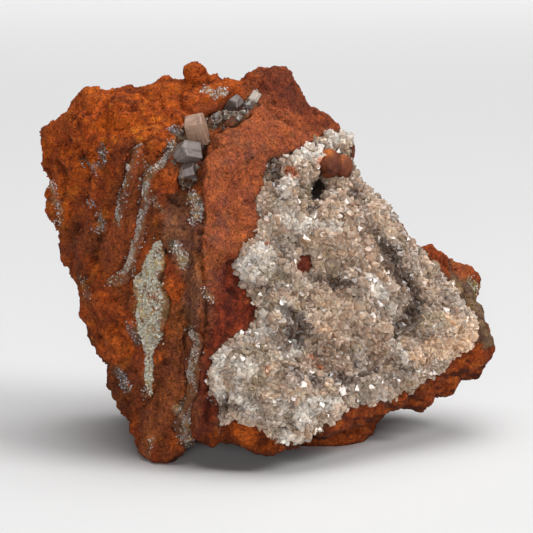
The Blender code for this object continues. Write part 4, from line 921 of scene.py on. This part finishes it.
# Fine druse strewn over the rock, as (path, half width in pixels, share, colours)
strayDruse = {"count": 2600, "size": 0.1}
druseStreaks = [
    ([(139, 146), (131, 166), (126, 185), (120, 200), (118, 221)], 4.5, 1.0, "grey"),
    ([(183, 132), (167, 155), (145, 179), (145, 198), (141, 228), (133, 259), (127, 277), (108, 282)], 5.5, 1.0,
     "grey"),
    ([(154, 198), (162, 212)], 3.5, 1.2, "grey"), ([(193, 196), (198, 206), (196, 218)], 6, 2.2, "white"),
    ([(176, 246), (182, 256), (184, 266)], 6, 2.0, "white"), ([(102, 148), (103, 160), (98, 168)], 4, 1.4, "blue"),
    ([(84, 160), (94, 170)], 3.5, 1.2, "blue"), ([(90, 204), (98, 212), (102, 228), (95, 230)], 4, 1.4, "blue"),
    ([(52, 182), (58, 207), (60, 222)], 3, 1.2, "white"), ([(83, 279), (90, 296)], 3.5, 1.0, "grey"),
    ([(118, 371), (127, 388)], 5, 2.2, "blue"), ([(205, 91), (216, 96), (224, 92)], 5, 1.8, "white"),
    ([(189, 330), (199, 338), (196, 353), (192, 378), (186, 405), (178, 425), (187, 444)], 6, 1.0, "grey"),
    ([(470, 281), (481, 290)], 5, 1.8, "pale"), ([(204, 290), (211, 300)], 4, 1.0, "white"),
    ([(174, 130), (184, 138)], 5, 2.2, "blue"), ([(171, 144), (164, 164)], 3, 1.6, "blue"),
    ([(146, 164), (150, 176)], 4, 1.2, "grey"), ([(148, 352), (147, 372), (146, 396)], 3, 1.4, "grey"),
    ([(156, 243), (150, 256), (140, 280), (135, 300), (140, 330), (150, 350), (160, 340), (165, 305), (159, 270)],
     4, 0.8, "pale"),
    ([(246, 103), (256, 94)], 4, 1.6, "white"), ([(130, 326), (138, 340)], 4, 1.0, "blue"),
    ([(180, 408), (186, 424), (190, 444)], 4, 1.2, "white"), ([(152, 440), (148, 456)], 3, 0.6, "white"),
    ([(208, 396), (214, 404)], 3, 0.6, "blue"),
]
druseColours = {"grey": ("#9b8d82", "#7f6f64", "#b9aca0"), "white": ("#d6ccc4", "#b3a69b", "#e2dad2"),
                "blue": ("#8f8e92", "#6c6a6e", "#aeb0b4"), "pale": ("#b3ab8e", "#94896f", "#c6c0ad")}


def makeStrayDruse(rockPiece, milky):
    dice = np.random.default_rng(41)

    def besideStreaks(middles, faceNormals):
        places = seenAt(middles)
        wander = 3 * rough(middles, 1.2, 101)
        share = np.zeros(len(middles))
        for path, width, density, _ in druseStreaks:
            share = np.maximum(share, density * soft(width - toPath(places, path) + wander, -1, 2.5))
        return share * (facingViewer(middles, faceNormals) > 0.5)

    spots, normals = surfaceSpots(inMillimetres(rockPiece.data), strayDruse["count"], dice, besideStreaks)
    places = seenAt(spots)
    gaps = np.stack([toPath(places, path) / width for path, width, _, _ in druseStreaks], axis=1)
    colours = np.array([palette(*druseColours[druseStreaks[i][3]])[dice.integers(0, 3)] for i in gaps.argmin(axis=1)])
    colours *= dice.uniform(0.75, 1.15, (len(spots), 1))
    wide = strayDruse["size"] * dice.uniform(0.5, 1.5, len(spots))
    axes = normals + 0.6 * dice.normal(size=spots.shape)
    made = crystalMesh("strayDruse", spots, axes, wide, 0.8 * wide, 2.2 * wide, colours, dice)
    finished(addPiece("strayDruse", made), milky, False)


# Loose grains of limonite on the knobs, half sizes in millimetres
crumbs = {"count": 5000, "least": 0.06, "most": 0.22}
crumbFaces = [(0, 1, 5, 4), (1, 2, 6, 5), (2, 3, 7, 6), (3, 0, 4, 7), (4, 5, 6, 7), (3, 2, 1, 0)]


def makeCrumbs(rockPiece):
    dice = np.random.default_rng(17)

    def onKnobs(middles, faceNormals):
        places = seenAt(middles)
        top = soft(within(places, orangeTop), -20, 5)
        clear = 1 - soft(within(places, redRidge), -2, 3) * 0.7
        return (0.3 + top) * clear * (middles[:, 2] > 2) * (within(places, frontOutline) < -3)

    spots, normals = surfaceSpots(inMillimetres(rockPiece.data), crumbs["count"], dice, onKnobs)
    size = crumbs["least"] + (crumbs["most"] - crumbs["least"]) * dice.random(len(spots)) ** 2.5
    square = ((-1, -1), (1, -1), (1, 1), (-1, 1))
    cube = np.array([(x, y, z) for z in (-1, 1) for x, y in square]) / 1.5
    local = cube[None] * dice.uniform(0.55, 1.35, (len(spots), 8, 1)) * size[:, None, None]
    turns = np.linalg.qr(dice.normal(size=(len(spots), 3, 3)))[0]
    turns[:, :, 0] *= np.linalg.det(turns)[:, None]
    lifted = spots + 0.25 * size[:, None] * normals
    points = lifted[:, None] + np.einsum("nij,nkj->nki", turns, local)
    facing = facingViewer(spots, normals)
    colours = rockStain(spots, normals, np.full(len(spots), 0.25), seenAt(spots), facing)
    colours *= dice.uniform(0.7, 1.35, (len(spots), 1))
    made = meshOf("limoniteCrumbs", points, crumbFaces, np.repeat(colours[:, None], 8, axis=1))
    limonite = earthyMaterial("limoniteGrains", 0.95, 0.5, 0.25, 0.3, 0.2)
    finished(addPiece("limoniteCrumbs", made), limonite, True)


# Pale floor, camera and soft studio light
studio = {
    "floor": "#d6d6d6",
    "world": 0.04,
    "softboxes": [
        {"name": "topSoftbox", "at": (0.1, 0.85, 1.1), "aim": (0.03, 0.72, 0), "size": (1.8, 2.6), "power": 13,
         "spread": 75},
        {"name": "backSoftbox", "at": (0, 1.45, 1.2), "aim": (0, 1.25, 0), "size": (2.4, 0.8), "power": 4.0,
         "spread": 70},
        {"name": "rightSoftbox", "at": (0.8, -0.3, 0.75), "aim": (0, 0, 0.03), "size": (0.45, 0.45), "power": 2.0,
         "spread": 90},
        {"name": "frontSoftbox", "at": (-0.05, -1.0, 0.2), "aim": (0, 0, 0.03), "size": (0.5, 0.25), "power": 1.7,
         "spread": 100},
    ],
}


def addSoftbox(plan):
    lamp = bpy.data.lights.new(plan["name"], "AREA")
    lamp.shape = "RECTANGLE"
    lamp.size, lamp.size_y = plan["size"]
    lamp.spread = math.radians(plan["spread"])
    lamp.energy = plan["power"]
    light = bpy.data.objects.new(plan["name"], lamp)
    bpy.context.scene.collection.objects.link(light)
    light.location = plan["at"]
    light.rotation_euler = (Vector(plan["aim"]) - light.location).to_track_quat("-Z", "Y").to_euler()


def makeStudio():
    mesh = bpy.data.meshes.new("floor")
    mesh.from_pydata([(-4, -4, 0), (4, -4, 0), (4, 8, 0), (-4, 8, 0)], [], [(0, 1, 2, 3)])
    floor = addPiece("floor", mesh)
    material, _, shader = newMaterial("paleAcrylic")
    shader.inputs["Base Color"].default_value = (*toLinear(studio["floor"]), 1)
    shader.inputs["Roughness"].default_value = 0.6
    mesh.materials.append(material)
    world = bpy.data.worlds.new("studio")
    world.use_nodes = True
    world.node_tree.nodes["Background"].inputs["Color"].default_value = (1, 1, 1, 1)
    world.node_tree.nodes["Background"].inputs["Strength"].default_value = studio["world"]
    bpy.context.scene.world = world
    for plan in studio["softboxes"]:
        addSoftbox(plan)
    camera = bpy.data.objects.new("camera", bpy.data.cameras.new("camera"))
    bpy.context.scene.collection.objects.link(camera)
    camera.data.sensor_width = 36
    camera.data.lens = 36 * view["focalPixels"] / view["pixels"]
    camera.data.clip_start = 0.02
    camera.location = (Vector(viewEye) - boxMiddle) * mm
    camera.rotation_euler = Vector(viewForward).to_track_quat("-Z", "Y").to_euler()
    bpy.context.scene.camera = camera
    bpy.context.scene.view_settings.view_transform = "Standard"


makeStudio()
print("studio made")
rockPiece = makeRock()
print("rock made")
clearAdamite = crystalMaterial("clearAdamite", 0.35, 0.2, 0.55, adamite["ior"])
milkyAdamite = crystalMaterial("milkyAdamite", 0.0, 0.36, 0.65, adamite["ior"])
smokyAdamite = crystalMaterial("smokyAdamite", 0.0, 0.5, 0.25, adamite["ior"])
makeFrontCrust(clearAdamite, milkyAdamite)
print("crust made")
seamRock = earthyMaterial("seamLimonite", 0.9, 0.9, 0.25, 0.8, 0.4)
for plan in seams:
    makeSeam(plan, milkyAdamite, seamRock)
blockDice = np.random.default_rng(29)
for plan in blocks:
    makeBlock(plan, smokyAdamite, blockDice)
makeNodules()
makeTuft()
print("seams, blocks, nodules and tuft made")
makeStrayDruse(rockPiece, milkyAdamite)
makeCrumbs(rockPiece)
print("grains made")
